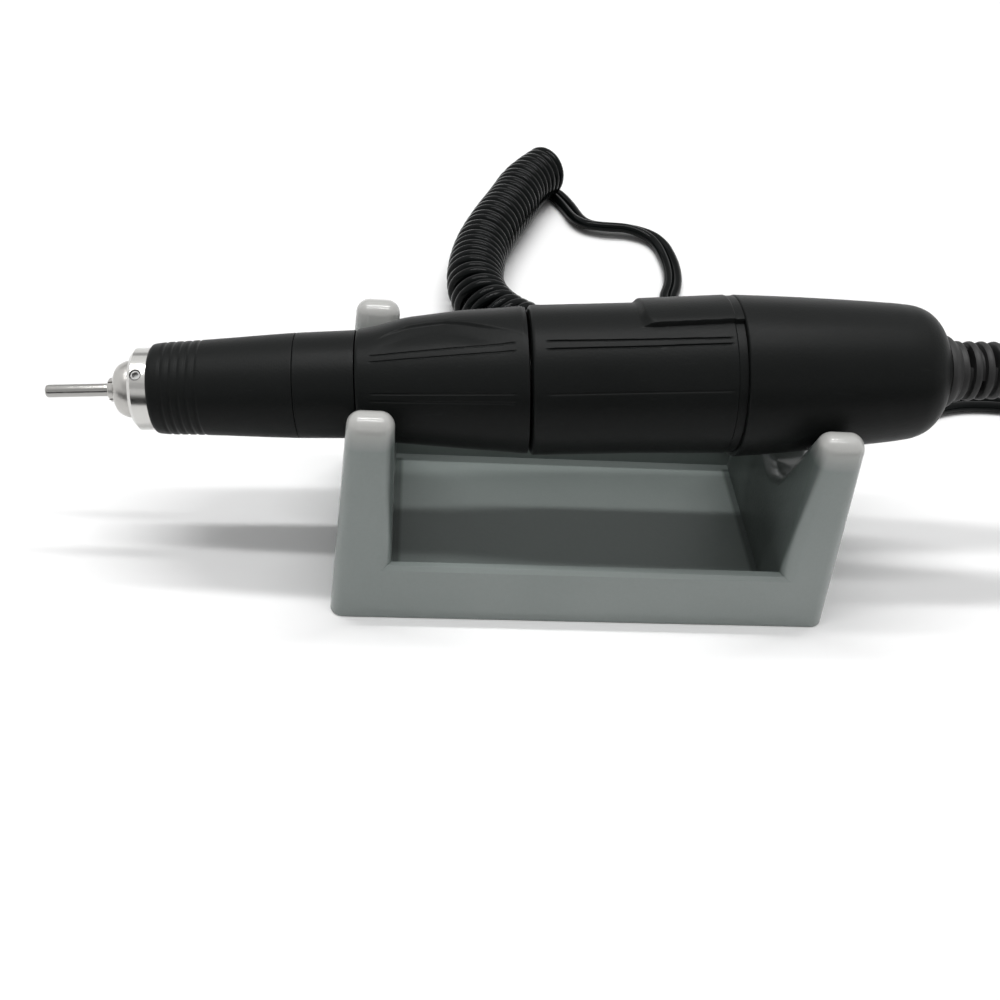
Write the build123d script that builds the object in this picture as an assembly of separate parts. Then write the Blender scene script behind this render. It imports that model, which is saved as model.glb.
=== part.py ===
from build123d import *
from math import atan, cos, degrees, hypot, pi, radians, sin, sqrt, tan
import os

# Electric nail drill lying in its cradle, with its curly cord. Millimetres, +Z up.
# The origin is the centre of the cradle's base on the table, +X runs towards the cord.
# Stations along the handpiece are counted from the point over the cradle's centre,
# negative towards the nose.

# How the handpiece lies
AXIS_HEIGHT = 40.9          # axis above the table, over the cradle's centre
TILT = 4.51                 # the cord end lies higher, degrees
ROLL = 29.5                 # the raised pad is turned away from the front, degrees
SEAT_GAP = 0.3              # between parts that only rest near each other
SNUG = 0.03                 # radial clearance of pressed and screwed fits
RUN = 0.06                  # radial clearance of turning and sliding fits
OVERRUN = 1.0               # how far cutters pass through a face

# Outer casing, from the nose to the cord
STAND_TO_SEAM = 12.7        # cradle centre to the seam behind the twist collar
COLLAR_LENGTH = 31.4
SLEEVE_BASE_LENGTH = 10.7
FRONT_SLEEVE_LENGTH = 26.3
NOSE_RING_LENGTH = 3.4
HOUSING_LENGTH = 37.3
CAP_LENGTH = 39.1
RELIEF_LENGTH = 33.3
SLEEVE_FRONT_R = 8.5
SLEEVE_JOINT_R = 9.6
SLEEVE_REAR_R = 9.85
SLEEVE_STEP = 0.1           # the sleeve's base is this much thinner at the joint
SLEEVE_ROUND = 1.1
GRIP_GROOVES = 5
GRIP_GROOVE_PITCH = 1.5
GRIP_GROOVE_WIDTH = 0.5
GRIP_GROOVE_DEPTH = 0.3
GRIP_SET_BACK = 2.3         # first groove behind the sleeve's front edge
COLLAR_FRONT_R = 10.05
COLLAR_REAR_R = 13.5
COLLAR_FRONT_CHAMFER = 0.4
SEAM_BEVEL = 0.55           # V groove at the seam, along each piece
SEAM_BEVEL_DEPTH = 1.7
HUMP_HEIGHT = 0.8           # thumb swell on the collar
HUMP_SHIFT = 5.0            # the swell is turned about an axis this much nearer the pad's side
HUMP_LENGTH = 24.4
HUMP_REAR = 1.4             # from the swell's end to the seam
HOUSING_FRONT_R = 13.75
HOUSING_REAR_R = 14.3
HOUSING_WALL = 1.75
HOUSING_BULKHEAD = 2.0
SPIGOT_LENGTH = 4.0         # thread spigot that the rear cap screws on
SPIGOT_WALL = 1.0
PAD_LENGTH = 18.0
PAD_HEIGHT = 0.75
PAD_WIDTH = 19.8
PAD_FLATTER = 1.25          # the pad's own radius is this much larger than its height over the axis
PAD_RAMP = 1.6
CAP_FRONT_R = 15.1
CAP_WAIST_R = 12.95
CAP_SHOULDER_LENGTH = 11.6
CAP_REAR_R = 7.0
CAP_WALL = 1.8
CAP_REAR_WALL = 3.6
CAP_CHAMFER = 0.5
SHOULDER_BULGE_SHARE = 0.16
LINE_WIDTH = 0.4            # engraved trim lines
LINE_DEPTH = 0.25
LINE_END_GAP = 2.4
PAIR_ANGLES = (51.5, 58.5)
COLLAR_LOW_ANGLES = (93.5, 100.5)
HOUSING_LOW_ANGLES = (93.7,)

# Steel nose
NOSE_RING_R = 7.5
NOSE_RING_CHAMFER = 0.7
NOSE_SPIGOT_R = 5.9
CONE_TIP_R = 3.0
CONE_BASE_R = 5.0
CONE_LENGTH = 3.7
CONE_LIP = 1.8
CONE_BORE_R = 3.6
CONE_BULGE_SHARE = 0.18
GRUB_R = 1.0
GRUB_SUNK = 0.15
GRUB_HEX = 0.9
GRUB_HEX_DEPTH = 0.7
GRUB_ANGLES = (-63.0, 57.0, 177.0)

# Chuck: test pin, collet, draw bar and spindle
PIN_R = 1.175               # 3/32 inch shank
PIN_LENGTH = 44.5
PIN_OUT = 11.5              # how much of the pin stands out of the collet
PIN_CHAMFER = 0.25
COLLET_FACE = 1.2           # the collet's face stands this far out of the cone
COLLET_R = 2.18
COLLET_HEAD_R = 2.7
COLLET_HEAD_BACK = 4.4      # from the face to the collet's widest place
COLLET_HEAD_LAND = 0.4
COLLET_FLARE = 0.6
COLLET_TAPER = 2.4
COLLET_LENGTH = 25.6
COLLET_SLOT = 0.35
COLLET_SAW_ANGLES = (45.0, -45.0)
COLLET_SLOT_LENGTH = 19.6
COLLET_TRAVEL = 1.0
BAR_LENGTH = 21.5
BAR_BORE_R = 1.4
BAR_BORE_DEPTH = 9.5
BAR_PIN_R = 0.9
BAR_PIN_BACK = 1.5          # cross pin from the bar's rear end
SPINDLE_R = 3.0
SPINDLE_BORE_R = 2.2
SPINDLE_NOSE_R = 3.3
SPINDLE_SET_BACK = 4.6      # spindle's front end behind the collet's face
SPINDLE_REAR = 24.0         # spindle's rear end before the cradle's centre
SPINDLE_SLOT_SPARE = 0.15
DOG_LENGTH = 6.0
DOG_OVERLAP = 2.8
DOG_R = 3.9
DOG_HALF_ANGLE = 38.0

# Ball bearings, 6 x 12 x 4 on the spindle and 3 x 10 x 4 in the motor
BEARING_R = 6.0
BEARING_WIDTH = 4.0
RACE = 1.0
SHIELD = 0.25
SHIELD_GAP = 0.15
MOTOR_BEARING_R = 5.0
BEARING_SPACER = 4.0
RETAINER = 2.0
RETAINER_BORE_R = 4.6

# Steel barrel that carries the bearings
BARREL_R = 7.0
BARREL_LIP = 2.1
BARREL_FRONT_GAP = 0.2
FLANGE_R = 11.9
FLANGE = 2.5
REAR_BEARING_FRONT = 31.0   # before the cradle's centre

# Quarter-turn release
TWIST = 90.0
PUSH_TRAVEL = 1.25
RELEASE_RING = 2.9
RELEASE_RING_R = 5.2
PUSH_GAP = 0.3
PUSH_LENGTH = 6.7
PUSH_BORE_R = 3.4
CAM_PIN_R = 1.0
CAM_PIN_INNER_R = 4.6
CAM_PIN_BACK = 3.7          # cam pins behind the push sleeve's front
CAM_WALL = 1.5
CAM_FRONT_SET = 0.7
CAM_LENGTH = 24.0
CAM_SLOT_SPARE = 0.1
SPRING_R = 4.1
SPRING_WIRE_R = 0.45
SPRING_TURNS = 6
SPRING_STOP = 1.6

# Motor
CAN_R = 11.8
CAN_WALL = 1.0
CAN_HOLE_R = 3.6
CAN_BOSS_WALL = 1.0
MAGNET_INNER_R = 8.6
MAGNET_LENGTH = 24.0
MAGNET_ARC_SHARE = 0.39     # of the full turn, each magnet
MAGNET_BACK = 8.6           # magnets behind the can's front face
ROTOR_R = 8.1
ROTOR_LENGTH = 20.0
ROTOR_SLOTS = 7
ROTOR_SLOT = 1.5
ROTOR_SLOT_DEPTH = 3.9
SHAFT_R = 1.5
SHAFT_REAR = 0.6            # shaft behind its rear bearing
COIL_HEAD = 3.4
COIL_HEAD_R = 7.3
COIL_HUB_R = 2.8
COMMUTATOR_R = 3.4
COMMUTATOR_LENGTH = 6.0
COMMUTATOR_GAP = 2.0
COMMUTATOR_SLIT = 0.3
HOLDER_GAP = 0.6            # end bell behind the commutator
HOLDER_PLATE = 3.6
HOLDER_BOSS_R = 6.2
HOLDER_SEAT = 0.3
BRUSH_WIDTH = 3.6
BRUSH_THICK = 3.0
BRUSH_LENGTH = 4.2
BRUSH_TUBE_WALL = 0.9
BRUSH_TUBE_INNER_R = 4.2
BRUSH_TUBE_OUTER_R = 10.2
BRUSH_LEAF = 0.6
BRUSH_LEAF_WIDTH = 1.8
TERMINAL_THICK = 0.4
TERMINAL_WIDTH = 2.4
TERMINAL_LENGTH = 6.4
LEAD_WIRE_R = 0.6
WIRE_BEND_R = 2.5
WIRE_BEND_SHARES = (0.35, 0.75)
SCREW_R = 1.0
SCREW_HEAD_R = 1.8
SCREW_SINK = 0.8            # countersunk heads in the flange
SCREW_LENGTH = 3.7
SCREW_PLACE_R = 9.2

# Strain relief
RELIEF_NECK_R = 3.2
RELIEF_FLANGE_R = 4.6
RELIEF_FLANGE = 1.4
RELIEF_R = 5.45
RELIEF_TIP_R = 4.3
RELIEF_RINGS = 13
RELIEF_PITCH = 2.35
RELIEF_GROOVE = 0.7
RELIEF_GROOVE_DEPTH = 0.9
RELIEF_WINDOW = 4.2
RELIEF_WINDOW_ANGLES = (115.0, 79.0)      # of the windows in turn, from the pad
FERRULE_R = 2.9
FERRULE_LENGTH = 3.0

# Cradle moulding
CRADLE_LENGTH = 97.0
CRADLE_DEPTH = 47.4
END_WALL = 11.5
RAIL_HEIGHT = 12.5
RAIL_WALL = 2.8
FLOOR = 3.0
PRONG_HEIGHT = 44.3
PRONG_R = 3.0
PRONG_DRAFT = 4.3           # outer end faces lean inwards, degrees
NOTCH_HALF_ANGLE = 25.3
NOTCH_R = 9.0
RAIL_BEVEL = 0.7            # top edges of the rails
PRONG_ROUND = 2.6
CORE_WALL = 2.2
CORE_DEPTH = 14.0
CORE_RIBS = 3

# Cord: a round tube of the flat twin flex's own section
CORD_R = 1.9
CURL_R = 7.5                # outer radius of the curls
CURL_PITCH = 5.6
CURL_SAMPLES = 24           # points to a turn in the measured gap
# Plug on the cord's far end
BOOT_LENGTH = 7.0
BOOT_TIP_R = 3.2
GRIP_LENGTH = 14.0
GRIP_R = 6.2
SHELL_LENGTH = 9.0
SHELL_R = 4.75
SHELL_WALL = 0.6
INSERT_LENGTH = 3.0
CONTACTS = 3
CONTACT_R = 0.6
CONTACT_PLACE_R = 2.2
CONTACT_LENGTH = 6.5
BOOT_GROOVES = 3
BOOT_GROOVE = 0.8
GRIP_STEP = 1.0
GRIP_RIM = 2.5
GRIP_FLUTES = 8
FLUTE_R = 2.5
FLUTE_DEPTH = 0.4

# Routes on the table, chosen by hand from the photographed lie
LEAD_ROUTE = (
    (112.0, 0.0, 49.734), (128.5, 2.6, 46.0), (140.0, 7.0, 35.0), (146.5, 12.5, 20.0),
    (148.0, 20.5, 7.5), (144.5, 31.5, 1.9), (135.5, 42.0, 1.9), (123.0, 48.5, 1.9),
    (110.0, 50.5, 1.9), (98.0, 49.2, 1.9), (86.6, 43.0, 1.9), (74.6, 39.3, 1.9),
    (63.7, 38.15, 1.9), (56.5, 40.9, 1.9), (51.747, 46.836, 1.9),
)
CURL_ROUTE = (
    (50.0, 58.0), (4.0, 58.0), (-10.0, 66.0), (-18.0, 80.0), (-17.3, 97.0),
    (-12.2, 112.8), (-6.0, 127.0), (-1.2, 141.0), (7.0, 151.5),
)
TAIL_ROUTE = (
    (17.486, 145.665, 1.9), (21.5, 138.2, 1.9), (24.5, 128.3, 1.9), (34.0, 122.0, 1.9),
    (40.0, 112.5, 1.9), (39.5, 101.0, 1.9), (34.5, 90.5, 1.9), (36.5, 79.0, 1.9),
    (44.0, 71.8, 3.4), (52.5, 68.6, 6.2), (60.5, 66.6, 6.2),
)
CORD_RADIUS_SHARE = 0.45
CURL_RADIUS_SHARE = 0.48

# Stations worked out from the lengths above
S_SEAM = -STAND_TO_SEAM
S_COLLAR = S_SEAM - COLLAR_LENGTH
S_BASE = S_COLLAR - SLEEVE_BASE_LENGTH
S_SLEEVE = S_BASE - FRONT_SLEEVE_LENGTH
S_RING = S_SLEEVE - NOSE_RING_LENGTH
S_CONE = S_RING - CONE_LENGTH
S_FACE = S_CONE - COLLET_FACE
S_PIN = S_FACE - PIN_OUT
S_CAP = S_SEAM + HOUSING_LENGTH
S_CAP_REAR = S_CAP + CAP_LENGTH
S_END = S_CAP_REAR + RELIEF_LENGTH
S_BARREL = S_RING + BARREL_FRONT_GAP
S_BEARING = S_SLEEVE + BARREL_LIP
S_BEARING_2 = S_BEARING + BEARING_WIDTH + BEARING_SPACER
S_COLLET_REAR = S_FACE + COLLET_LENGTH
S_BAR_REAR = S_COLLET_REAR + BAR_LENGTH
S_BAR_PIN = S_BAR_REAR - BAR_PIN_BACK
S_RELEASE = S_BAR_PIN - RELEASE_RING / 2
S_PUSH = S_RELEASE + RELEASE_RING + PUSH_GAP
S_CAM_PIN = S_PUSH + CAM_PIN_BACK
S_FLANGE = S_SEAM + SEAT_GAP + HOUSING_BULKHEAD
S_CAN = S_FLANGE + FLANGE + SEAT_GAP
S_MAGNET = S_CAN + MAGNET_BACK
S_ROTOR = S_MAGNET + (MAGNET_LENGTH - ROTOR_LENGTH) / 2
S_COMMUTATOR = S_ROTOR + ROTOR_LENGTH + COIL_HEAD + COMMUTATOR_GAP
S_CAN_REAR = S_COMMUTATOR + COMMUTATOR_LENGTH + HOLDER_GAP
S_MOTOR_BEARING = S_CAN_REAR + HOLDER_PLATE + HOLDER_SEAT
S_DOG = -SPINDLE_REAR
S_GRUB = S_RING + NOSE_RING_LENGTH / 2
S_BRUSH = S_COMMUTATOR + COMMUTATOR_LENGTH / 2
CAM_R = BARREL_R + RUN + CAM_WALL
TERMINAL_R = (HOLDER_BOSS_R + CAN_R - CAN_WALL) / 2
SIDES = (90.0, -90.0)       # places a quarter turn either way from the pad
TOP_AND_BOTTOM = (0.0, 180.0)

HAND = Location((0, 0, AXIS_HEIGHT), (0, -TILT, 0)) * Location((0, 0, 0), (-ROLL, 0, 0))


def turned(outline):
    """Solid of revolution about the handpiece axis through (station, radius) points."""
    return revolve(Plane.XZ * make_face(Polyline(*outline, close=True)), axis=Axis.X)


def turned_edges(*edges):
    """The same, for an outline with round stretches."""
    return revolve(Plane.XZ * make_face(list(edges)), axis=Axis.X)


def ring(start, end, outer, inner=0.0):
    """Plain ring, or a disc where the inner radius is zero."""
    return turned([(start, inner), (start, outer), (end, outer), (end, inner)])


def around(shape, angle):
    """Turn a shape about the handpiece axis, zero is the side of the raised pad."""
    return Location((0, 0, 0), (-angle, 0, 0)) * shape


def post(station, low, high, radius):
    """Radial pin towards the side of the raised pad."""
    return Pos(station, 0, (low + high) / 2) * Cylinder(radius, high - low)


def one(shape):
    """A boolean result as its one plain solid."""
    solids = shape.solids()
    return solids[0] if len(solids) == 1 else Compound(list(solids))


# Cradle

def axis_at(x):
    """Height of the handpiece axis over the table at x."""
    return AXIS_HEIGHT + x * tan(radians(TILT))


def casing_radius(x):
    """Radius of the collar or of the rear cap over x."""
    if x < 0:
        share = (x / cos(radians(TILT)) - S_COLLAR) / COLLAR_LENGTH
        return COLLAR_FRONT_R + share * (COLLAR_REAR_R - COLLAR_FRONT_R)
    share = (x / cos(radians(TILT)) - S_CAP) / (CAP_LENGTH - CAP_SHOULDER_LENGTH)
    return CAP_FRONT_R + share * (CAP_WAIST_R - CAP_FRONT_R)


def prong_place(seat_x):
    """Apex of one end's notch, centre of its prong's round top, and where the front face meets that."""
    lean = radians(NOTCH_HALF_ANGLE)
    apex = axis_at(seat_x) - (casing_radius(seat_x) + SEAT_GAP) / sin(lean)
    prong_z = PRONG_HEIGHT - PRONG_R
    prong_y = (PRONG_R + (prong_z - apex) * sin(lean)) / cos(lean)
    draft = atan((CRADLE_DEPTH / 2 - prong_y - PRONG_R) / prong_z)
    outer = (prong_y + PRONG_R * cos(draft), prong_z + PRONG_R * sin(draft))
    return apex, prong_y, prong_z, outer


def tray_face(seat_x):
    """Section of the tray where it meets an end wall, its front and back in line with the wall's."""
    outer = prong_place(seat_x)[-1]
    half = CRADLE_DEPTH / 2
    top = half - (half - outer[0]) * RAIL_HEIGHT / outer[1]
    return Plane.YZ.offset(seat_x) * make_face(Polyline(
        (-half, 0), (half, 0), (top, RAIL_HEIGHT), (-top, RAIL_HEIGHT), close=True))


def end_wall_outline(seat_x):
    """One end wall seen along X: two round prongs and a V notch with a round bottom."""
    lean = radians(NOTCH_HALF_ANGLE)
    apex, prong_y, prong_z, outer = prong_place(seat_x)
    half = CRADLE_DEPTH / 2
    inner = (prong_y - PRONG_R * cos(lean), prong_z + PRONG_R * sin(lean))
    notch_z = apex + NOTCH_R / sin(lean)
    low = (NOTCH_R * cos(lean), notch_z - NOTCH_R * sin(lean))
    top = (prong_y, PRONG_HEIGHT)
    edges = [Line((-half, 0), (half, 0))]
    for side in (1, -1):
        edges.append(Line((side * half, 0), (side * outer[0], outer[1])))
        edges.append(ThreePointArc((side * outer[0], outer[1]), (side * top[0], top[1]),
                                   (side * inner[0], inner[1])))
        edges.append(Line((side * inner[0], inner[1]), (side * low[0], low[1])))
    edges.append(ThreePointArc((-low[0], low[1]), (0, notch_z - NOTCH_R), (low[0], low[1])))
    return make_face(edges)


def end_wall(side):
    """One end of the cradle, its outer face leaning inwards, all prong edges rounded."""
    outer_x = CRADLE_LENGTH / 2
    inner_x = outer_x - END_WALL
    lean = PRONG_HEIGHT * tan(radians(PRONG_DRAFT))
    outline = Plane.YZ * end_wall_outline(side * inner_x)
    slab = Pos(side * inner_x, 0, 0) * extrude(outline, side * END_WALL)
    wedge = Plane.XZ * make_face(Polyline(
        (side * inner_x, 0), (side * outer_x, 0), (side * (outer_x - lean), PRONG_HEIGHT),
        (side * inner_x, PRONG_HEIGHT), close=True))
    wall = slab & extrude(wedge, CRADLE_DEPTH, both=True)
    tops = wall.edges().filter_by(Axis.X, reverse=True)
    return fillet(tops.filter_by(lambda e: e.center().Z > RAIL_HEIGHT + PRONG_ROUND), PRONG_ROUND)


def cradle():
    """Moulded stand: two notched ends joined by a shallow open tray."""
    length, depth = CRADLE_LENGTH - 2 * END_WALL, CRADLE_DEPTH - 2 * RAIL_WALL
    tray = loft([tray_face(-length / 2), tray_face(length / 2)], ruled=True)
    tray = chamfer(tray.edges().group_by(Axis.Z)[-1].filter_by(Axis.Y, reverse=True), RAIL_BEVEL)
    for side in (1, -1):
        foot = extrude(tray_face(side * length / 2), side * END_WALL / 2)
        tray += chamfer(foot.edges().group_by(Axis.Z)[-1].filter_by(Axis.X), RAIL_BEVEL)
    well = Pos(0, 0, FLOOR + PRONG_HEIGHT / 2) * Box(length, depth, PRONG_HEIGHT)
    body = (tray - well) + end_wall(1) + end_wall(-1)
    cell = (CRADLE_DEPTH - (CORE_RIBS + 2) * CORE_WALL) / (CORE_RIBS + 1)
    for side in (1, -1):
        for index in range(CORE_RIBS + 1):
            y = (index - CORE_RIBS / 2) * (cell + CORE_WALL)
            x = side * (CRADLE_LENGTH - END_WALL) / 2
            body -= Pos(x, y, CORE_DEPTH / 2) * Box(END_WALL - 2 * CORE_WALL, cell, CORE_DEPTH)
    return one(body)


# Steel nose

def nose_ring():
    c = NOSE_RING_CHAMFER
    body = turned([(S_RING, NOSE_SPIGOT_R + SNUG), (S_RING, NOSE_RING_R - c), (S_RING + c, NOSE_RING_R),
                   (S_SLEEVE, NOSE_RING_R), (S_SLEEVE, NOSE_SPIGOT_R + SNUG)])
    for angle in GRUB_ANGLES:
        body -= around(post(S_GRUB, NOSE_SPIGOT_R - OVERRUN, NOSE_RING_R + OVERRUN, GRUB_R + SNUG), angle)
    return one(body)


def grub_screws():
    screws = []
    for angle in GRUB_ANGLES:
        top = NOSE_RING_R - GRUB_SUNK
        screw = post(S_GRUB, NOSE_SPIGOT_R + SNUG, top, GRUB_R)
        hexagon = Pos(S_GRUB, 0, top - GRUB_HEX_DEPTH) * RegularPolygon(GRUB_HEX / 2, 6, major_radius=False)
        screw -= extrude(hexagon, GRUB_HEX_DEPTH + OVERRUN)
        screws.append(around(one(screw), angle))
    return Compound(screws)


def nose_cone():
    """Domed steel nose, screwed into the barrel by its skirt."""
    tip, base, skirt = (S_CONE, CONE_TIP_R), (S_RING, CONE_BASE_R), CONE_BASE_R - SNUG
    chord = hypot(base[0] - tip[0], base[1] - tip[1])
    out = CONE_BULGE_SHARE * chord
    middle = ((tip[0] + base[0]) / 2 - out * (base[1] - tip[1]) / chord,
              (tip[1] + base[1]) / 2 + out * (base[0] - tip[0]) / chord)
    lip_r = COLLET_R + SEAT_GAP
    rear = S_BEARING - SEAT_GAP
    return turned_edges(
        ThreePointArc(tip, middle, base),
        Polyline(base, (S_BARREL - SNUG, CONE_BASE_R), (S_BARREL - SNUG, skirt), (rear, skirt),
                 (rear, CONE_BORE_R), (S_CONE + CONE_LIP, CONE_BORE_R), (S_CONE + CONE_LIP, lip_r),
                 (S_CONE, lip_r), tip))


# Chuck

def test_pin():
    rear = S_PIN + PIN_LENGTH
    c = PIN_CHAMFER
    return turned([(S_PIN, 0), (S_PIN, PIN_R - c), (S_PIN + c, PIN_R), (rear - c, PIN_R),
                   (rear, PIN_R - c), (rear, 0)])


def collet():
    """Split collet: four jaws, a closing taper and a threaded tail."""
    land = S_FACE + COLLET_HEAD_BACK
    flare = land - COLLET_FLARE
    taper = land + COLLET_HEAD_LAND
    end = taper + COLLET_TAPER
    bore = PIN_R + SNUG
    body = turned([(S_FACE, bore), (S_FACE, COLLET_R - PIN_CHAMFER), (S_FACE + PIN_CHAMFER, COLLET_R),
                   (flare, COLLET_R), (land, COLLET_HEAD_R), (taper, COLLET_HEAD_R), (end, COLLET_R),
                   (S_COLLET_REAR, COLLET_R), (S_COLLET_REAR, bore)])
    length = COLLET_SLOT_LENGTH + OVERRUN
    saw = Pos(S_FACE - OVERRUN + length / 2, 0, 0) * Box(length, 2 * COLLET_HEAD_R + OVERRUN, COLLET_SLOT)
    for angle in COLLET_SAW_ANGLES:
        body -= around(saw, angle)
    return one(body)


def draw_bar():
    body = ring(S_COLLET_REAR, S_BAR_REAR, COLLET_R)
    body -= ring(S_COLLET_REAR - OVERRUN, S_COLLET_REAR + BAR_BORE_DEPTH, BAR_BORE_R)
    body -= post(S_BAR_PIN, -SPINDLE_R, SPINDLE_R, BAR_PIN_R + SNUG)
    return one(body)


def draw_pin():
    return post(S_BAR_PIN, SNUG - RELEASE_RING_R, RELEASE_RING_R - SNUG, BAR_PIN_R)


def release_ring():
    body = ring(S_RELEASE, S_RELEASE + RELEASE_RING, RELEASE_RING_R, SPINDLE_R + RUN)
    return one(body - post(S_BAR_PIN, -RELEASE_RING_R - OVERRUN, RELEASE_RING_R + OVERRUN, BAR_PIN_R + SNUG))


def spindle():
    """Hollow spindle: closing taper at the nose, a slot for the draw pin, two drive dogs."""
    nose = S_FACE + SPINDLE_SET_BACK
    taper = S_FACE + COLLET_HEAD_BACK + COLLET_HEAD_LAND
    mouth = COLLET_HEAD_R + SNUG
    body = turned([(nose, mouth), (nose, SPINDLE_NOSE_R), (S_BEARING, SPINDLE_NOSE_R),
                   (S_BEARING, SPINDLE_R), (S_DOG, SPINDLE_R), (S_DOG, 0), (S_BAR_REAR + OVERRUN, 0),
                   (S_BAR_REAR + OVERRUN, SPINDLE_BORE_R), (taper + COLLET_TAPER, SPINDLE_BORE_R),
                   (taper, mouth)])
    slot = COLLET_TRAVEL + SPINDLE_SLOT_SPARE
    width = 2 * (BAR_PIN_R + SPINDLE_SLOT_SPARE)
    body -= Pos(S_BAR_PIN - COLLET_TRAVEL / 2, 0, 0) * long_hole(slot, width, 2 * SPINDLE_NOSE_R)
    return one(body)


def long_hole(length, width, height):
    """Cutter for a hole with round ends, upright, its length along the handpiece."""
    cutter = Box(length, width, height)
    for side in (1, -1):
        cutter += Pos(side * length / 2, 0, 0) * Cylinder(width / 2, height)
    return cutter


def dogs(start, end, turn):
    """Two jaws of the drive coupling."""
    face = Plane.XZ * make_face(Polyline((start, SHAFT_R + SEAT_GAP), (start, DOG_R), (end, DOG_R),
                                         (end, SHAFT_R + SEAT_GAP), close=True))
    jaw = revolve(face, axis=Axis.X, revolution_arc=2 * DOG_HALF_ANGLE)
    return [around(jaw, turn - side) for side in (DOG_HALF_ANGLE, DOG_HALF_ANGLE + 180.0)]


def spindle_dog():
    seat = S_DOG
    body = ring(seat, seat + DOG_LENGTH / 2, DOG_R)
    for jaw in dogs(seat, seat + DOG_LENGTH, 0.0):
        body += jaw
    return one(body)


def motor_dog():
    front = S_DOG + DOG_LENGTH - DOG_OVERLAP
    body = ring(front + DOG_LENGTH / 2, front + DOG_LENGTH, DOG_R, SHAFT_R + SNUG)
    for jaw in dogs(front, front + DOG_LENGTH, 90.0):
        body += jaw
    return one(body)


def bearing_outer(start, outer):
    """Outer ring of a shielded ball bearing, with its two shields."""
    inner = outer - RACE
    hub = outer - 2 * RACE + SHIELD_GAP
    end = start + BEARING_WIDTH
    return turned([(start, hub), (start, outer - SNUG), (end, outer - SNUG), (end, hub), (end - SHIELD, hub),
                   (end - SHIELD, inner), (start + SHIELD, inner), (start + SHIELD, hub)])


def bearing_inner(start, outer, bore):
    return ring(start, start + BEARING_WIDTH, outer - 2 * RACE, bore + SNUG)


def spindle_bearing_outers():
    starts = (S_BEARING, S_BEARING_2, -REAR_BEARING_FRONT)
    return Compound([bearing_outer(start, BEARING_R) for start in starts])


def spindle_bearing_inners():
    starts = (S_BEARING, S_BEARING_2, -REAR_BEARING_FRONT)
    return Compound([bearing_inner(start, BEARING_R, SPINDLE_R) for start in starts])


def bearing_spacer():
    start = S_BEARING + BEARING_WIDTH
    return ring(start, start + BEARING_SPACER, BEARING_R - SNUG, BEARING_R - RACE)


def front_retainer():
    start = S_BEARING_2 + BEARING_WIDTH
    return ring(start, start + RETAINER, BEARING_R - SNUG, RETAINER_BORE_R)


def rear_retainer():
    start = -REAR_BEARING_FRONT + BEARING_WIDTH
    return ring(start, start + RETAINER, BEARING_R - SNUG, RETAINER_BORE_R)


def spring_stop():
    """Collar on the spindle that the draw spring pushes against."""
    start = S_BEARING_2 + BEARING_WIDTH + RETAINER + SEAT_GAP
    return ring(start, start + SPRING_STOP, SPRING_R + SPRING_WIRE_R, SPINDLE_R + SNUG)


def draw_spring():
    """Compression spring round the spindle that draws the collet shut."""
    start = S_BEARING_2 + BEARING_WIDTH + RETAINER + SEAT_GAP + SPRING_STOP + SPRING_WIRE_R + SNUG
    length = S_RELEASE - SPRING_WIRE_R - SNUG - start
    places = coil_places(Line((start, 0, 0), (start + length, 0, 0)), SPRING_R, SPRING_TURNS)
    path = Wire(coil_edges(places))
    return one(sweep(wire_section(path, SPRING_WIRE_R), path=path))


# Barrel and quarter-turn release

def barrel():
    """Steel barrel: front spigot, bearing bore, slots for the cam pins, rear flange."""
    end = S_FLANGE + FLANGE
    body = turned([(S_BARREL, CONE_BASE_R), (S_BARREL, NOSE_SPIGOT_R), (S_SLEEVE, NOSE_SPIGOT_R),
                   (S_SLEEVE, BARREL_R), (S_FLANGE, BARREL_R), (S_FLANGE, FLANGE_R), (end, FLANGE_R),
                   (end, BEARING_R), (S_BEARING, BEARING_R), (S_BEARING, CONE_BASE_R)])
    slot = long_hole(PUSH_TRAVEL + CAM_SLOT_SPARE, 2 * (CAM_PIN_R + RUN), 2 * BARREL_R + OVERRUN)
    body -= Pos(S_CAM_PIN - PUSH_TRAVEL / 2, 0, 0) * slot
    hole = countersunk(S_FLANGE, end + OVERRUN, SNUG)
    for angle in SIDES:
        body -= around(Pos(0, 0, SCREW_PLACE_R) * hole, angle)
    return one(body)


def countersunk(start, end, spare):
    """Screw with a countersunk head, or its hole where there is clearance to spare."""
    return turned([(start, 0), (start, SCREW_HEAD_R + spare), (start + SCREW_SINK, SCREW_R + spare),
                   (end, SCREW_R + spare), (end, 0)])


def flange_screws():
    """Two screws that hold the motor to the barrel's flange."""
    screw = countersunk(S_FLANGE + SNUG, S_FLANGE + SCREW_LENGTH, 0)
    return Compound([around(Pos(0, 0, SCREW_PLACE_R) * screw, angle) for angle in SIDES])


def push_sleeve():
    body = ring(S_PUSH, S_PUSH + PUSH_LENGTH, BEARING_R - RUN, PUSH_BORE_R)
    return one(body - post(S_CAM_PIN, -BEARING_R, BEARING_R, CAM_PIN_R + SNUG))


def cam_pins():
    pin = post(S_CAM_PIN, CAM_PIN_INNER_R, CAM_R - RUN, CAM_PIN_R)
    return Compound([around(pin, angle) for angle in TOP_AND_BOTTOM])


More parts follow.
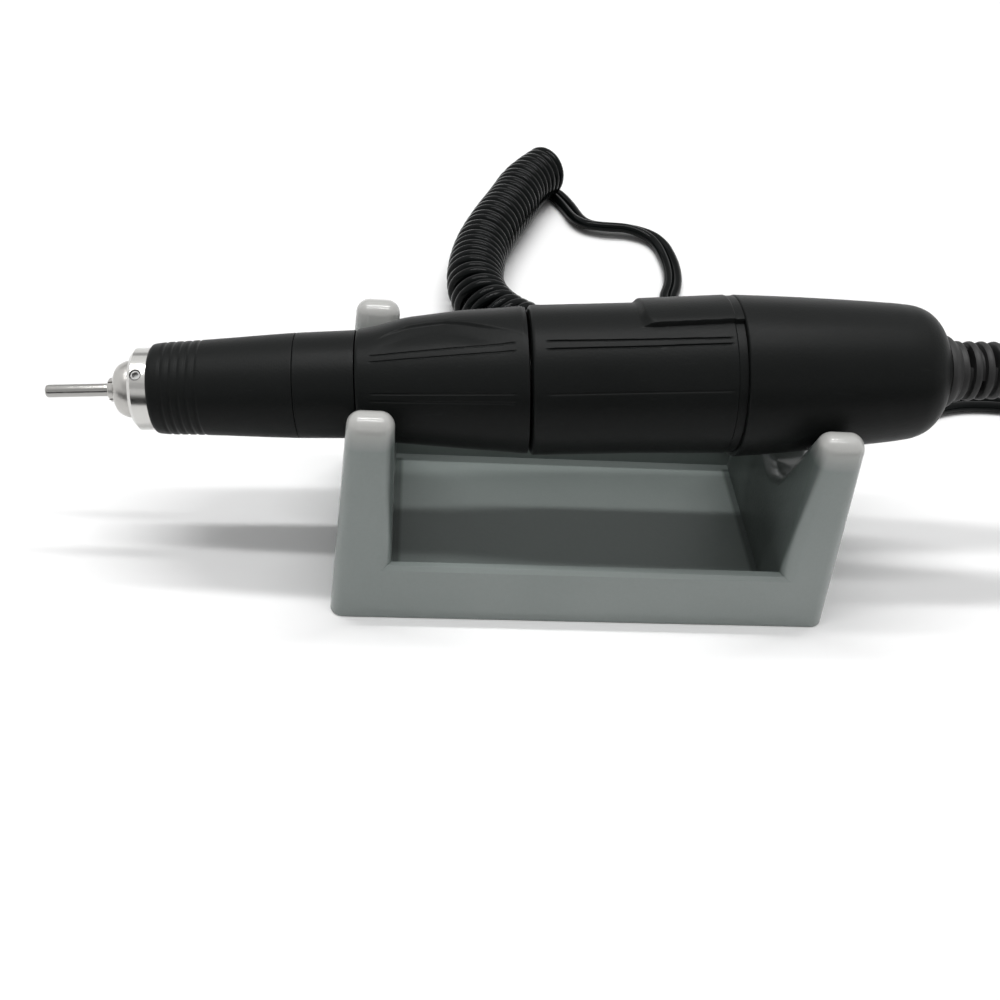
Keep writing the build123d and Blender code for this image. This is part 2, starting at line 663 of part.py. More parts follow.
def cam_slot():
    """Cutter for one helical slot: the pin's path over the quarter turn, with round ends."""
    middle_r = BARREL_R + RUN + CAM_WALL / 2
    width = 2 * (CAM_PIN_R + CAM_SLOT_SPARE)
    pitch = PUSH_TRAVEL * 360.0 / TWIST
    path = Helix(pitch, PUSH_TRAVEL, middle_r)
    section = Plane(origin=path @ 0, x_dir=(1, 0, 0), z_dir=path % 0) * Rectangle(2 * CAM_WALL, width)
    track = sweep(section, path=path, is_frenet=True)
    start = Pos(middle_r, 0, 0) * Location((0, 0, 0), (0, 90, 0)) * Cylinder(width / 2, 2 * CAM_WALL)
    end = Pos(0, 0, PUSH_TRAVEL) * Location((0, 0, 0), (0, 0, TWIST)) * start
    return track + start + end


def cam_sleeve():
    """Sleeve inside the collar whose slots drive the two cam pins forward."""
    front = S_COLLAR + CAM_FRONT_SET
    body = ring(front, front + CAM_LENGTH, CAM_R, BARREL_R + RUN)
    cutter = Pos(S_CAM_PIN, 0, 0) * Location((0, 0, 0), (0, -90, 0)) * cam_slot()
    for angle in TOP_AND_BOTTOM:
        body -= around(cutter, angle)
    return one(body)


# Casing

def trim_lines(start, end, front_r, rear_r, angles):
    """Cutters for engraved lines along a cone, the same on both sides of the pad."""
    slope = degrees(atan((rear_r - front_r) / (end - start)))
    length = end - start - 2 * LINE_END_GAP
    cutters = []
    for angle in angles:
        for side in (1, -1):
            line = Location((0, 0, 0), (0, -slope, 0)) * Box(length, LINE_WIDTH, 2 * LINE_DEPTH)
            line = Pos((start + end) / 2, 0, (front_r + rear_r) / 2) * line
            cutters.append(around(line, side * angle))
    return cutters


def front_sleeve():
    """Black front sleeve with rolled front edge and ring grooves."""
    bore = BARREL_R + SNUG
    q = SLEEVE_ROUND * (1 - sqrt(1 / 2))
    body = turned_edges(
        ThreePointArc((S_SLEEVE, SLEEVE_FRONT_R - SLEEVE_ROUND), (S_SLEEVE + q, SLEEVE_FRONT_R - q),
                      (S_SLEEVE + SLEEVE_ROUND, SLEEVE_FRONT_R)),
        Polyline((S_SLEEVE + SLEEVE_ROUND, SLEEVE_FRONT_R), (S_BASE, SLEEVE_JOINT_R), (S_BASE, bore),
                 (S_SLEEVE, bore), (S_SLEEVE, SLEEVE_FRONT_R - SLEEVE_ROUND)))
    for index in range(GRIP_GROOVES):
        start = S_SLEEVE + GRIP_SET_BACK + index * GRIP_GROOVE_PITCH
        body -= ring(start, start + GRIP_GROOVE_WIDTH, SLEEVE_REAR_R, SLEEVE_FRONT_R - GRIP_GROOVE_DEPTH
                     + (start - S_SLEEVE) / FRONT_SLEEVE_LENGTH * (SLEEVE_JOINT_R - SLEEVE_FRONT_R))
    return one(body)


def sleeve_base():
    rear = S_COLLAR - SEAT_GAP
    bore = BARREL_R + SNUG
    return turned([(S_BASE, bore), (S_BASE, SLEEVE_JOINT_R - SLEEVE_STEP), (rear, SLEEVE_REAR_R),
                   (rear, bore)])


def twist_collar():
    """Tapered collar with its thumb swell and engraved lines."""
    rear = S_SEAM
    bore = CAM_R + SNUG
    front_bore = BARREL_R + RUN
    cam_front = S_COLLAR + CAM_FRONT_SET
    front = COLLAR_FRONT_CHAMFER
    body = turned([(S_COLLAR, front_bore), (S_COLLAR, COLLAR_FRONT_R - front),
                   (S_COLLAR + front, COLLAR_FRONT_R), (rear - SEAM_BEVEL, COLLAR_REAR_R),
                   (rear, COLLAR_REAR_R - SEAM_BEVEL_DEPTH), (rear, bore), (cam_front, bore),
                   (cam_front, front_bore)])
    hump_rear = rear - HUMP_REAR
    hump_front = hump_rear - HUMP_LENGTH
    slope = (COLLAR_REAR_R - COLLAR_FRONT_R) / COLLAR_LENGTH
    low, high = [COLLAR_FRONT_R + (s - S_COLLAR) * slope - HUMP_SHIFT for s in (hump_front, hump_rear)]
    crest = ((hump_front + hump_rear) / 2, (low + high) / 2 + HUMP_HEIGHT)
    swell = turned_edges(
        ThreePointArc((hump_front, low), crest, (hump_rear, high)),
        Polyline((hump_rear, high), (hump_rear, 0), (hump_front, 0), (hump_front, low)))
    body += Pos(0, 0, HUMP_SHIFT) * swell - ring(hump_front - OVERRUN, hump_rear + OVERRUN, bore)
    angles = PAIR_ANGLES + COLLAR_LOW_ANGLES
    for cutter in trim_lines(S_COLLAR, rear, COLLAR_FRONT_R, COLLAR_REAR_R, angles):
        body -= cutter
    return one(body)


def motor_housing():
    """Shell over the motor: bulkhead, thread spigot, raised pad and engraved lines."""
    front = S_SEAM + SEAT_GAP
    inner = HOUSING_FRONT_R - HOUSING_WALL
    spigot = inner + SPIGOT_WALL
    bore = BARREL_R + SNUG
    body = turned([(front, bore), (front, HOUSING_FRONT_R - SEAM_BEVEL_DEPTH),
                   (front + SEAM_BEVEL, HOUSING_FRONT_R), (S_CAP, HOUSING_REAR_R), (S_CAP, spigot),
                   (S_CAP + SPIGOT_LENGTH, spigot),
                   (S_CAP + SPIGOT_LENGTH, inner), (S_FLANGE, inner), (S_FLANGE, bore)])
    pad_front = S_CAP - PAD_LENGTH
    low, high = HOUSING_FRONT_R + PAD_FLATTER, HOUSING_REAR_R + PAD_HEIGHT + PAD_FLATTER
    pad = turned([(pad_front, 0), (pad_front, low), (pad_front + PAD_RAMP, high - PAD_HEIGHT / 4),
                  (S_CAP, high), (S_CAP, 0)])
    pad = Pos(0, 0, -PAD_FLATTER) * pad & Pos(0, 0, high) * Box(2 * S_CAP + CAP_LENGTH, PAD_WIDTH, 2 * high)
    body += pad - ring(pad_front - OVERRUN, S_CAP + OVERRUN, spigot)
    angles = PAIR_ANGLES + HOUSING_LOW_ANGLES
    for cutter in trim_lines(front, S_CAP, HOUSING_FRONT_R, HOUSING_REAR_R, angles):
        body -= cutter
    return one(body)


def rear_cap():
    """Tapered cap with a round shoulder and a neck for the strain relief."""
    waist_s = S_CAP_REAR - CAP_SHOULDER_LENGTH
    chord = hypot(CAP_SHOULDER_LENGTH, CAP_WAIST_R - CAP_REAR_R)
    out = SHOULDER_BULGE_SHARE * chord
    middle = ((waist_s + S_CAP_REAR) / 2 + out * (CAP_WAIST_R - CAP_REAR_R) / chord,
              (CAP_WAIST_R + CAP_REAR_R) / 2 + out * CAP_SHOULDER_LENGTH / chord)
    thread = HOUSING_FRONT_R - HOUSING_WALL + SPIGOT_WALL + SNUG
    thread_end = S_CAP + SPIGOT_LENGTH + SEAT_GAP
    wall_s = S_CAP_REAR - CAP_REAR_WALL
    front = S_CAP + SNUG
    neck = RELIEF_NECK_R + SNUG
    inner_waist = CAP_WAIST_R - CAP_WALL
    inner_end = CAP_REAR_R - CAP_WALL / 2
    return turned_edges(
        Polyline((front, thread), (front, CAP_FRONT_R - CAP_CHAMFER), (front + CAP_CHAMFER, CAP_FRONT_R),
                 (waist_s, CAP_WAIST_R)),
        ThreePointArc((waist_s, CAP_WAIST_R), middle, (S_CAP_REAR, CAP_REAR_R)),
        Polyline((S_CAP_REAR, CAP_REAR_R), (S_CAP_REAR, neck), (wall_s, neck), (wall_s, inner_end),
                 (waist_s, inner_waist), (thread_end, thread), (front, thread)))


def strain_relief():
    """Rubber relief: inner flange, neck, shoulder and ribs with staggered windows between them."""
    wall_s = S_CAP_REAR - CAP_REAR_WALL
    flange_s = wall_s - RELIEF_FLANGE
    bore = CORD_R + RUN
    ribs = S_END - RELIEF_RINGS * RELIEF_PITCH
    shoulder_s = S_CAP_REAR + SNUG
    body = turned([(flange_s, bore), (flange_s, RELIEF_FLANGE_R), (wall_s, RELIEF_FLANGE_R),
                   (wall_s, RELIEF_NECK_R), (shoulder_s, RELIEF_NECK_R),
                   (shoulder_s, CAP_REAR_R - CAP_CHAMFER / 2), (ribs, RELIEF_R), (S_END, RELIEF_TIP_R),
                   (S_END, bore)])
    for index in range(RELIEF_RINGS - 1):
        start = ribs + (index + 1) * RELIEF_PITCH - RELIEF_GROOVE
        share = (start - ribs) / (S_END - ribs)
        floor_r = RELIEF_R + share * (RELIEF_TIP_R - RELIEF_R) - RELIEF_GROOVE_DEPTH
        body -= ring(start, start + RELIEF_GROOVE, RELIEF_R + OVERRUN, floor_r)
        window = Box(RELIEF_GROOVE, RELIEF_WINDOW, RELIEF_R)
        for side in (1, -1):
            out = CORD_R + RUN + SEAT_GAP + RELIEF_R / 2
            body -= around(Pos(start + RELIEF_GROOVE / 2, 0, side * out) * window, RELIEF_WINDOW_ANGLES[index % 2])
    return one(body)


def cord_ferrule():
    """Crimped ferrule that keeps the cord from being pulled out."""
    rear = S_CAP_REAR - CAP_REAR_WALL - RELIEF_FLANGE
    return ring(rear - FERRULE_LENGTH, rear, FERRULE_R, CORD_R + SNUG)


def cord_end():
    """Jacketed end of the cord inside the strain relief."""
    start = S_CAP_REAR - CAP_REAR_WALL - RELIEF_FLANGE - FERRULE_LENGTH - SEAT_GAP
    return ring(start, S_END, CORD_R)


# Motor

def motor_can():
    """Deep-drawn can with the front bearing's boss."""
    inner = CAN_R - CAN_WALL
    boss_end = S_CAN + CAN_WALL + BEARING_WIDTH
    boss = MOTOR_BEARING_R + CAN_BOSS_WALL
    body = turned([(S_CAN, CAN_HOLE_R), (S_CAN, CAN_R), (S_CAN_REAR, CAN_R), (S_CAN_REAR, inner),
                   (S_CAN + CAN_WALL, inner), (S_CAN + CAN_WALL, boss), (boss_end, boss),
                   (boss_end, MOTOR_BEARING_R), (S_CAN + CAN_WALL, MOTOR_BEARING_R),
                   (S_CAN + CAN_WALL, CAN_HOLE_R)])
    for angle in SIDES:
        body -= around(Pos(S_CAN, 0, SCREW_PLACE_R) * Location((0, 0, 0), (0, 90, 0))
                       * Cylinder(SCREW_R + SNUG, 2 * CAN_WALL + OVERRUN), angle)
    return one(body)


def field_magnets():
    end, outer = S_MAGNET + MAGNET_LENGTH, CAN_R - CAN_WALL - SNUG
    face = Plane.XZ * make_face(Polyline(
        (S_MAGNET, MAGNET_INNER_R), (S_MAGNET, outer), (end, outer), (end, MAGNET_INNER_R), close=True))
    span = 360 * MAGNET_ARC_SHARE
    arc = revolve(face, axis=Axis.X, revolution_arc=span)
    return Compound([around(arc, turn - span / 2) for turn in TOP_AND_BOTTOM])


def motor_bearing_outers():
    starts = (S_CAN + CAN_WALL, S_MOTOR_BEARING)
    return Compound([bearing_outer(start, MOTOR_BEARING_R) for start in starts])


def motor_bearing_inners():
    starts = (S_CAN + CAN_WALL, S_MOTOR_BEARING)
    return Compound([bearing_inner(start, MOTOR_BEARING_R, SHAFT_R) for start in starts])


def rotor_shaft():
    front = S_DOG + DOG_LENGTH - DOG_OVERLAP + DOG_LENGTH / 2
    return ring(front, S_MOTOR_BEARING + BEARING_WIDTH + SHAFT_REAR, SHAFT_R)


def rotor_core():
    """Laminated core with open slots."""
    body = ring(S_ROTOR, S_ROTOR + ROTOR_LENGTH, ROTOR_R, SHAFT_R + SNUG)
    for index in range(ROTOR_SLOTS):
        slot = Pos(S_ROTOR + ROTOR_LENGTH / 2, 0, ROTOR_R)
        slot = slot * Box(ROTOR_LENGTH + OVERRUN, ROTOR_SLOT, 2 * ROTOR_SLOT_DEPTH)
        body -= around(slot, index * 360.0 / ROTOR_SLOTS)
    return one(body)


def rotor_windings():
    """Copper in the slots and the coil heads at both ends of the core."""
    body = ring(S_ROTOR - COIL_HEAD, S_ROTOR, COIL_HEAD_R, COIL_HUB_R)
    body += ring(S_ROTOR + ROTOR_LENGTH, S_ROTOR + ROTOR_LENGTH + COIL_HEAD, COIL_HEAD_R, COIL_HUB_R)
    reach = COIL_HEAD_R - ROTOR_R + ROTOR_SLOT_DEPTH - SNUG
    for index in range(ROTOR_SLOTS):
        bar = Pos(S_ROTOR + ROTOR_LENGTH / 2, 0, COIL_HEAD_R - reach / 2)
        bar = bar * Box(ROTOR_LENGTH + COIL_HEAD, ROTOR_SLOT - 2 * SNUG, reach)
        body += around(bar, index * 360.0 / ROTOR_SLOTS)
    return one(body)


def commutator():
    body = ring(S_COMMUTATOR, S_COMMUTATOR + COMMUTATOR_LENGTH, COMMUTATOR_R, SHAFT_R + SNUG)
    for index in range(ROTOR_SLOTS):
        slit = Pos(S_COMMUTATOR + COMMUTATOR_LENGTH / 2, 0, COMMUTATOR_R)
        slit = slit * Box(COMMUTATOR_LENGTH + OVERRUN, COMMUTATOR_SLIT, COMMUTATOR_R / 2)
        body -= around(slit, index * 360.0 / ROTOR_SLOTS)
    return one(body)


def brush_holder():
    """Plastic end bell: plate, bearing boss and two square brush tubes."""
    plate_end = S_CAN_REAR + HOLDER_PLATE
    boss_end = S_MOTOR_BEARING + BEARING_WIDTH
    hole = MOTOR_BEARING_R - 2 * RACE + SHIELD_GAP
    body = turned([(S_CAN_REAR, hole), (S_CAN_REAR, CAN_R - CAN_WALL), (plate_end, CAN_R - CAN_WALL),
                   (plate_end, HOLDER_BOSS_R), (boss_end, HOLDER_BOSS_R), (boss_end, MOTOR_BEARING_R),
                   (S_MOTOR_BEARING, MOTOR_BEARING_R), (S_MOTOR_BEARING, hole)])
    outer = BRUSH_THICK + 2 * BRUSH_TUBE_WALL
    wide = BRUSH_WIDTH + 2 * BRUSH_TUBE_WALL
    length = S_CAN_REAR - S_BRUSH + outer / 2
    middle = (BRUSH_TUBE_INNER_R + BRUSH_TUBE_OUTER_R) / 2
    tall = BRUSH_TUBE_OUTER_R - BRUSH_TUBE_INNER_R
    for angle in SIDES:
        block = Pos(S_CAN_REAR - length / 2, 0, middle) * Box(length, wide, tall)
        pocket = Pos(S_BRUSH, 0, middle) * Box(BRUSH_THICK + 2 * SNUG, BRUSH_WIDTH + 2 * SNUG, tall + OVERRUN)
        body += around(block, angle)
        body -= around(pocket, angle)
    return one(body)


def carbon_brushes():
    low = COMMUTATOR_R + RUN
    brush = Pos(S_BRUSH, 0, low + BRUSH_LENGTH / 2) * Box(BRUSH_THICK, BRUSH_WIDTH, BRUSH_LENGTH)
    return Compound([around(one(brush), angle) for angle in SIDES])


def brush_springs():
    """Bent leaf behind each brush."""
    low = COMMUTATOR_R + RUN + BRUSH_LENGTH + SNUG
    high = BRUSH_TUBE_OUTER_R - SNUG
    half = BRUSH_THICK / 2 - RUN
    knee = (low + high) / 2
    strip = make_face(Polyline(
        (-half, low), (half, knee - BRUSH_LEAF / 2), (half, knee + BRUSH_LEAF / 2), (-half, high),
        (-half, high - BRUSH_LEAF), (half - BRUSH_LEAF, knee), (-half, low + BRUSH_LEAF), close=True))
    spring = extrude(Plane.XZ * strip, BRUSH_LEAF_WIDTH / 2, both=True)
    spring = Pos(S_BRUSH, 0, 0) * spring
    return Compound([around(one(spring), angle) for angle in SIDES])


def terminals():
    """Brass tabs on the brush tubes that reach back past the end bell's plate."""
    tab_s = S_CAN_REAR + HOLDER_PLATE
    tabs = []
    tab = Box(TERMINAL_LENGTH, TERMINAL_WIDTH, TERMINAL_THICK)
    for angle in SIDES:
        tabs.append(around(Pos(tab_s + TERMINAL_LENGTH / 2, 0, TERMINAL_R) * one(tab), angle))
    return Compound(tabs)


def lead_wires():
    """Two wires from the terminals to the cord's end."""
    start = S_CAN_REAR + HOLDER_PLATE + TERMINAL_LENGTH / 2
    end = S_CAP_REAR - CAP_REAR_WALL - RELIEF_FLANGE - FERRULE_LENGTH - SEAT_GAP
    high = TERMINAL_R - TERMINAL_THICK / 2 - LEAD_WIRE_R
    low = LEAD_WIRE_R + RUN
    run = end - start
    wires = []
    for angle in SIDES:
        path = FilletPolyline((start, 0, high), (start + run * WIRE_BEND_SHARES[0], 0, high),
                              (start + run * WIRE_BEND_SHARES[1], 0, low), (end, 0, low), radius=WIRE_BEND_R)
        section = Plane(origin=path @ 0, z_dir=path % 0) * Circle(LEAD_WIRE_R)
        wires.append(around(one(sweep(section, path=path)), angle))
    return Compound(wires)


# Cord and plug

def corner_radii(points, share):
    """Radius of each corner's arc: a share of the shorter run over the tangent of half the turn."""
    radii = []
    for before, at, after in zip(points, points[1:], points[2:]):
        come, go = Vector(*at) - Vector(*before), Vector(*after) - Vector(*at)
        turn = radians(come.get_angle(go))
        radii.append(share * min(come.length, go.length) / tan(turn / 2))
    return radii


def tube(points, name):
    """Cord along straight runs joined by tangent arcs."""
    radii = corner_radii(points, CORD_RADIUS_SHARE)
    path = FilletPolyline(*points, radius=radii)
    section = wire_section(path, CORD_R)
    solid = sweep(section, path=path)
    print(name, "length", round(path.length, 1), "radii", [round(r, 1) for r in radii],
          "volume over section times length", round(solid.volume / (section.area * path.length), 4))
    return one(solid)


def curl_axis():
    radii = corner_radii([(x, y, 0.0) for x, y in CURL_ROUTE], CURL_RADIUS_SHARE)
    return FilletPolyline(*[(x, y, CURL_R) for x, y in CURL_ROUTE], radius=radii)


def coil_places(axis, reach, turns):
    """Points and headings of a coil round a level axis, two to a turn, from underneath the axis."""
    spans = 2 * turns
    places = []
    for index in range(spans + 1):
        share = index / spans
        angle = 2 * pi * turns * share
        along = axis % share
        side, up = Vector(along.Y, -along.X, 0), Vector(0, 0, 1)
        point = (axis @ share) + side * (reach * sin(angle)) - up * (reach * cos(angle))
        heading = (side * cos(angle) + up * sin(angle)) * (2 * pi * turns * reach) + along * axis.length
        places.append((point, heading.normalized()))
    return places


def biarc(start, start_dir, end, end_dir):
    """Two tangent arcs from one directed point to another."""
    gap = end - start
    both = start_dir + end_dir
    reach = 2 * (1 - start_dir.dot(end_dir))
    d = (-gap.dot(both) + sqrt(gap.dot(both) ** 2 + reach * gap.dot(gap))) / reach
    middle = (start + start_dir * d + end - end_dir * d) / 2
    middle_dir = (end - end_dir * d - start - start_dir * d).normalized()
    return [TangentArc(start, middle, tangent=start_dir), TangentArc(middle, end, tangent=middle_dir)]


def coil_edges(places):
    edges = []
    for (a, a_dir), (b, b_dir) in zip(places, places[1:]):
        edges += biarc(a, a_dir, b, b_dir)
    return edges


def wire_section(path, radius):
    """Round section, square to the start of its path."""
    return Plane(origin=path @ 0, z_dir=path % 0) * Circle(radius)


def curl_places():
    axis = curl_axis()
    return coil_places(axis, CURL_R - CORD_R, round(axis.length / CURL_PITCH))


def curly_cord():
    """The curls as one unbroken tube on biarcs, with a straight cord's width at both ends."""
    places = curl_places()
    turns = len(places) // 2
    first, last = places[0], places[-1]
    edges = [Line(first[0] - first[1] * (2 * CORD_R), first[0])] + coil_edges(places)
    path = Wire(edges + [Line(last[0], last[0] + last[1] * (2 * CORD_R))])
    section = wire_section(path, CORD_R)
    solid = sweep(section, path=path)
    count = turns * CURL_SAMPLES
    samples = [path @ (index / count) for index in range(count + 1)]
    least = min((samples[i] - samples[j]).length for i in range(count)
                for j in range(i + CURL_SAMPLES // 2 + 1, min(i + 2 * CURL_SAMPLES, count + 1)))
    print("curly cord", turns, "turns, wire length", round(path.length, 1), "least gap",
          round(least - 2 * CORD_R, 2), "volume over section times length",
          round(solid.volume / (section.area * path.length), 4))
    return one(solid)


def lead_points():
    first, heading = curl_places()[0]
    exit_point = (HAND * Pos(S_END, 0, 0)).position
    end = first - heading * (2 * CORD_R)
    return [tuple(exit_point)] + list(LEAD_ROUTE) + [tuple(end)]


def tail_points():
    last, heading = curl_places()[-1]
    start = last + heading * (2 * CORD_R)
    return [tuple(start)] + list(TAIL_ROUTE)


def cord_lead():
    return tube(lead_points(), "lead")


def cord_tail():
    return tube(tail_points(), "tail")


def plug_place():
    """Location with X along the plug, from the cord's end."""
    before, end = Vector(*TAIL_ROUTE[-2]), Vector(*TAIL_ROUTE[-1])
    return Location(Plane(origin=end, x_dir=end - before, z_dir=(0, 0, 1)))


def plug_boot():
    body = turned([(0, 0), (0, BOOT_TIP_R), (BOOT_LENGTH, GRIP_R - GRIP_STEP), (BOOT_LENGTH, 0)])
    for index in range(BOOT_GROOVES):
        start = (index + 1) * BOOT_LENGTH / (BOOT_GROOVES + 1) - BOOT_GROOVE / 2
        body -= ring(start, start + BOOT_GROOVE, GRIP_R, BOOT_TIP_R - BOOT_GROOVE / 2)
    return body


def plug_grip():
    """Moulded grip with finger flutes and a rim at its front."""
    end = BOOT_LENGTH + GRIP_LENGTH
    rim = end - GRIP_RIM
    body = turned([(BOOT_LENGTH, 0), (BOOT_LENGTH, GRIP_R - GRIP_STEP), (BOOT_LENGTH + GRIP_STEP, GRIP_R),
                   (end - GRIP_STEP, GRIP_R), (end, GRIP_R - GRIP_STEP), (end, SHELL_R + SNUG),
                   (rim, SHELL_R + SNUG), (rim, 0)])
    bar = Location((0, 0, 0), (0, 90, 0)) * Cylinder(FLUTE_R, GRIP_LENGTH - 2 * GRIP_RIM)
    bar = Pos(BOOT_LENGTH + GRIP_LENGTH / 2, 0, GRIP_R + FLUTE_R - FLUTE_DEPTH) * bar
    for index in range(GRIP_FLUTES):
        body -= around(bar, (index + 1 / 2) * 360.0 / GRIP_FLUTES)
    return one(body)


def plug_shell():
    start = BOOT_LENGTH + GRIP_LENGTH - GRIP_RIM
    return ring(start, BOOT_LENGTH + GRIP_LENGTH + SHELL_LENGTH, SHELL_R, SHELL_R - SHELL_WALL)


def plug_insert():
    start = BOOT_LENGTH + GRIP_LENGTH - GRIP_RIM
    body = ring(start, start + INSERT_LENGTH, SHELL_R - SHELL_WALL - SNUG)
    for place in contact_places():
        body -= place * Pos(start, 0, 0) * ring(-OVERRUN, INSERT_LENGTH + OVERRUN, CONTACT_R + SNUG)
    return one(body)


def plug_contacts():
    start = BOOT_LENGTH + GRIP_LENGTH - GRIP_RIM
    end = start + CONTACT_LENGTH
    tip = CONTACT_R / 2
    pin = turned([(start, 0), (start, CONTACT_R), (end - tip, CONTACT_R), (end, tip), (end, 0)])
    return Compound([place * pin for place in contact_places()])


def contact_places():
    places = []
    for index in range(CONTACTS):
        turn = 2 * pi * index / CONTACTS
        places.append(Pos(0, CONTACT_PLACE_R * sin(turn), CONTACT_PLACE_R * cos(turn)))
    return places


HAND_NODES = (
    nose_ring, grub_screws, nose_cone, test_pin, collet, draw_bar, draw_pin, release_ring, spindle,
    spindle_dog, motor_dog, spindle_bearing_outers, spindle_bearing_inners, bearing_spacer,
    front_retainer, rear_retainer, spring_stop, draw_spring, barrel, flange_screws, push_sleeve,
    cam_pins, cam_sleeve, front_sleeve, sleeve_base, twist_collar, motor_housing, rear_cap,
    strain_relief, cord_ferrule, cord_end, motor_can, field_magnets, motor_bearing_outers,
    motor_bearing_inners, rotor_shaft, rotor_core, rotor_windings, commutator, brush_holder,
    carbon_brushes, brush_springs, terminals, lead_wires,
)
PLUG_NODES = (plug_boot, plug_grip, plug_shell, plug_insert, plug_contacts)
TABLE_NODES = (cradle, cord_lead, curly_cord, cord_tail)


def placed(makers, place):
    """Make each piece, put it where it belongs and write its file."""
    for maker in makers:
        solids = [place * solid for solid in maker().solids()]
        shape = solids[0] if len(solids) == 1 else Compound(solids)
        export_step(shape, "parts/" + maker.__name__ + ".step")


os.makedirs("parts", exist_ok=True)
placed(HAND_NODES, HAND)
placed(PLUG_NODES, plug_place())
placed(TABLE_NODES, Location((0, 0, 0)))
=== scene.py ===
import bmesh
import bpy
import numpy as np
from mathutils import Matrix


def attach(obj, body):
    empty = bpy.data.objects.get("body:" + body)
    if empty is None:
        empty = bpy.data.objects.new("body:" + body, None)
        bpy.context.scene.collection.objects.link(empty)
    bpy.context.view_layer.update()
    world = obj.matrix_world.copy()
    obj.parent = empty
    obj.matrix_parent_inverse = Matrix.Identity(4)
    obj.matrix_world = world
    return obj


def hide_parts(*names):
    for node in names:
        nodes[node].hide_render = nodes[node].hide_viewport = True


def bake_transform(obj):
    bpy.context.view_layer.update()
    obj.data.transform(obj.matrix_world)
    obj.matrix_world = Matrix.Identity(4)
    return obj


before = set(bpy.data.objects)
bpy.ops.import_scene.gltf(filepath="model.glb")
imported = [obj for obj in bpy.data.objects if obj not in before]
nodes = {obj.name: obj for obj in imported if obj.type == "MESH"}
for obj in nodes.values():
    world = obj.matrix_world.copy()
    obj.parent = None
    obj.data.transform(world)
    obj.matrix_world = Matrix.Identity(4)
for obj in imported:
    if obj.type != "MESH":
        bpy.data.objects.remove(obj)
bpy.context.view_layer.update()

# ---- Camera ----
# The view of the photograph: a 40 mm lens on a 36 mm frame, 0.24 m from the handpiece, looking 43 degrees
# down and tipped a little to one side.
pitch, yaw, roll = np.radians([42.73, 6.82, 6.49])
eye = (-0.0354, -0.1654, 0.1634)
forward = np.array([np.sin(yaw) * np.cos(pitch), np.cos(yaw) * np.cos(pitch), -np.sin(pitch)])
level = np.array([np.cos(yaw), -np.sin(yaw), 0.0])
raised = np.cross(level, forward)
right = np.cos(roll) * level + np.sin(roll) * raised
above = np.cos(roll) * raised - np.sin(roll) * level
camera = bpy.data.objects.new("camera", bpy.data.cameras.new("camera"))
bpy.context.scene.collection.objects.link(camera)
camera.data.lens = 40.19
camera.data.sensor_width = 36.0
camera.data.clip_start = 0.01
turned = np.eye(4)
turned[:3, 0], turned[:3, 1], turned[:3, 2] = right, above, -forward
turned[:3, 3] = eye
camera.matrix_world = Matrix(turned.tolist())
bpy.context.scene.camera = camera
bpy.context.scene.view_settings.view_transform = "Standard"


# ---- Table and light ----
# A white table under two long tube lamps. Reflections alone show a cloth in front, dark but for its top, that
# draws the dark band down the polished steel, and a ceiling that is brighter towards the back wall.
class Value:
    """A socket's value. Arithmetic on it adds Math nodes, and node() adds any other node beside it."""

    def __init__(self, socket):
        self.socket = socket

    def node(self, kind, settings=None, values=None, out=0):
        """Adds a node: its settings first, then its sockets' values or links."""
        made = self.socket.id_data.nodes.new("ShaderNode" + kind)
        for name, setting in (settings or {}).items():
            setattr(made, name, setting)
        for name, value in (values or {}).items():
            if isinstance(value, Value):
                self.socket.id_data.links.new(made.inputs[name], value.socket)
            else:
                made.inputs[name].default_value = value
        return Value(made.outputs[out])

    def maths(self, operation, first, second=0.0):
        return self.node("Math", {"operation": operation}, {0: first, 1: second})

    def __add__(self, other):
        return self.maths("ADD", self, other)

    def __sub__(self, other):
        return self.maths("SUBTRACT", self, other)

    def __rsub__(self, other):
        return self.maths("SUBTRACT", other, self)

    def __mul__(self, other):
        return self.maths("MULTIPLY", self, other)

    def between(self, low, high):
        """0 below low, 1 above high, and a straight slope between them."""
        return self.node("MapRange", {}, {"Value": self, "From Min": low, "From Max": high})

    def shades(self, low, high):
        """Mixes two colours by this value. Either can be the output of a node."""
        low, high = [shade if isinstance(shade, Value) else (*shade, 1.0) for shade in (low, high)]
        return self.node("Mix", {"data_type": "RGBA"}, {0: self, 6: low, 7: high}, out=2)

    def noise(self, scale, detail=2.0, roughness=0.5):
        """Soft noise over a place, so many grains to the metre."""
        return self.node("TexNoise", {}, {"Vector": self, "Scale": scale, "Detail": detail,
                                          "Roughness": roughness})


def stage_material(name, colour, roughness):
    """A plain material for what stands round the object."""
    made = bpy.data.materials.new(name)
    made.use_nodes = True
    shader = made.node_tree.nodes["Principled BSDF"]
    shader.inputs["Base Color"].default_value = (*colour, 1.0)
    shader.inputs["Roughness"].default_value = roughness
    return made


def panel(name, corners, material):
    """A flat sheet through four corners."""
    mesh = bpy.data.meshes.new(name)
    mesh.from_pydata(corners, [], [range(4)])
    mesh.materials.append(material)
    made = bpy.data.objects.new(name, mesh)
    bpy.context.scene.collection.objects.link(made)
    return made


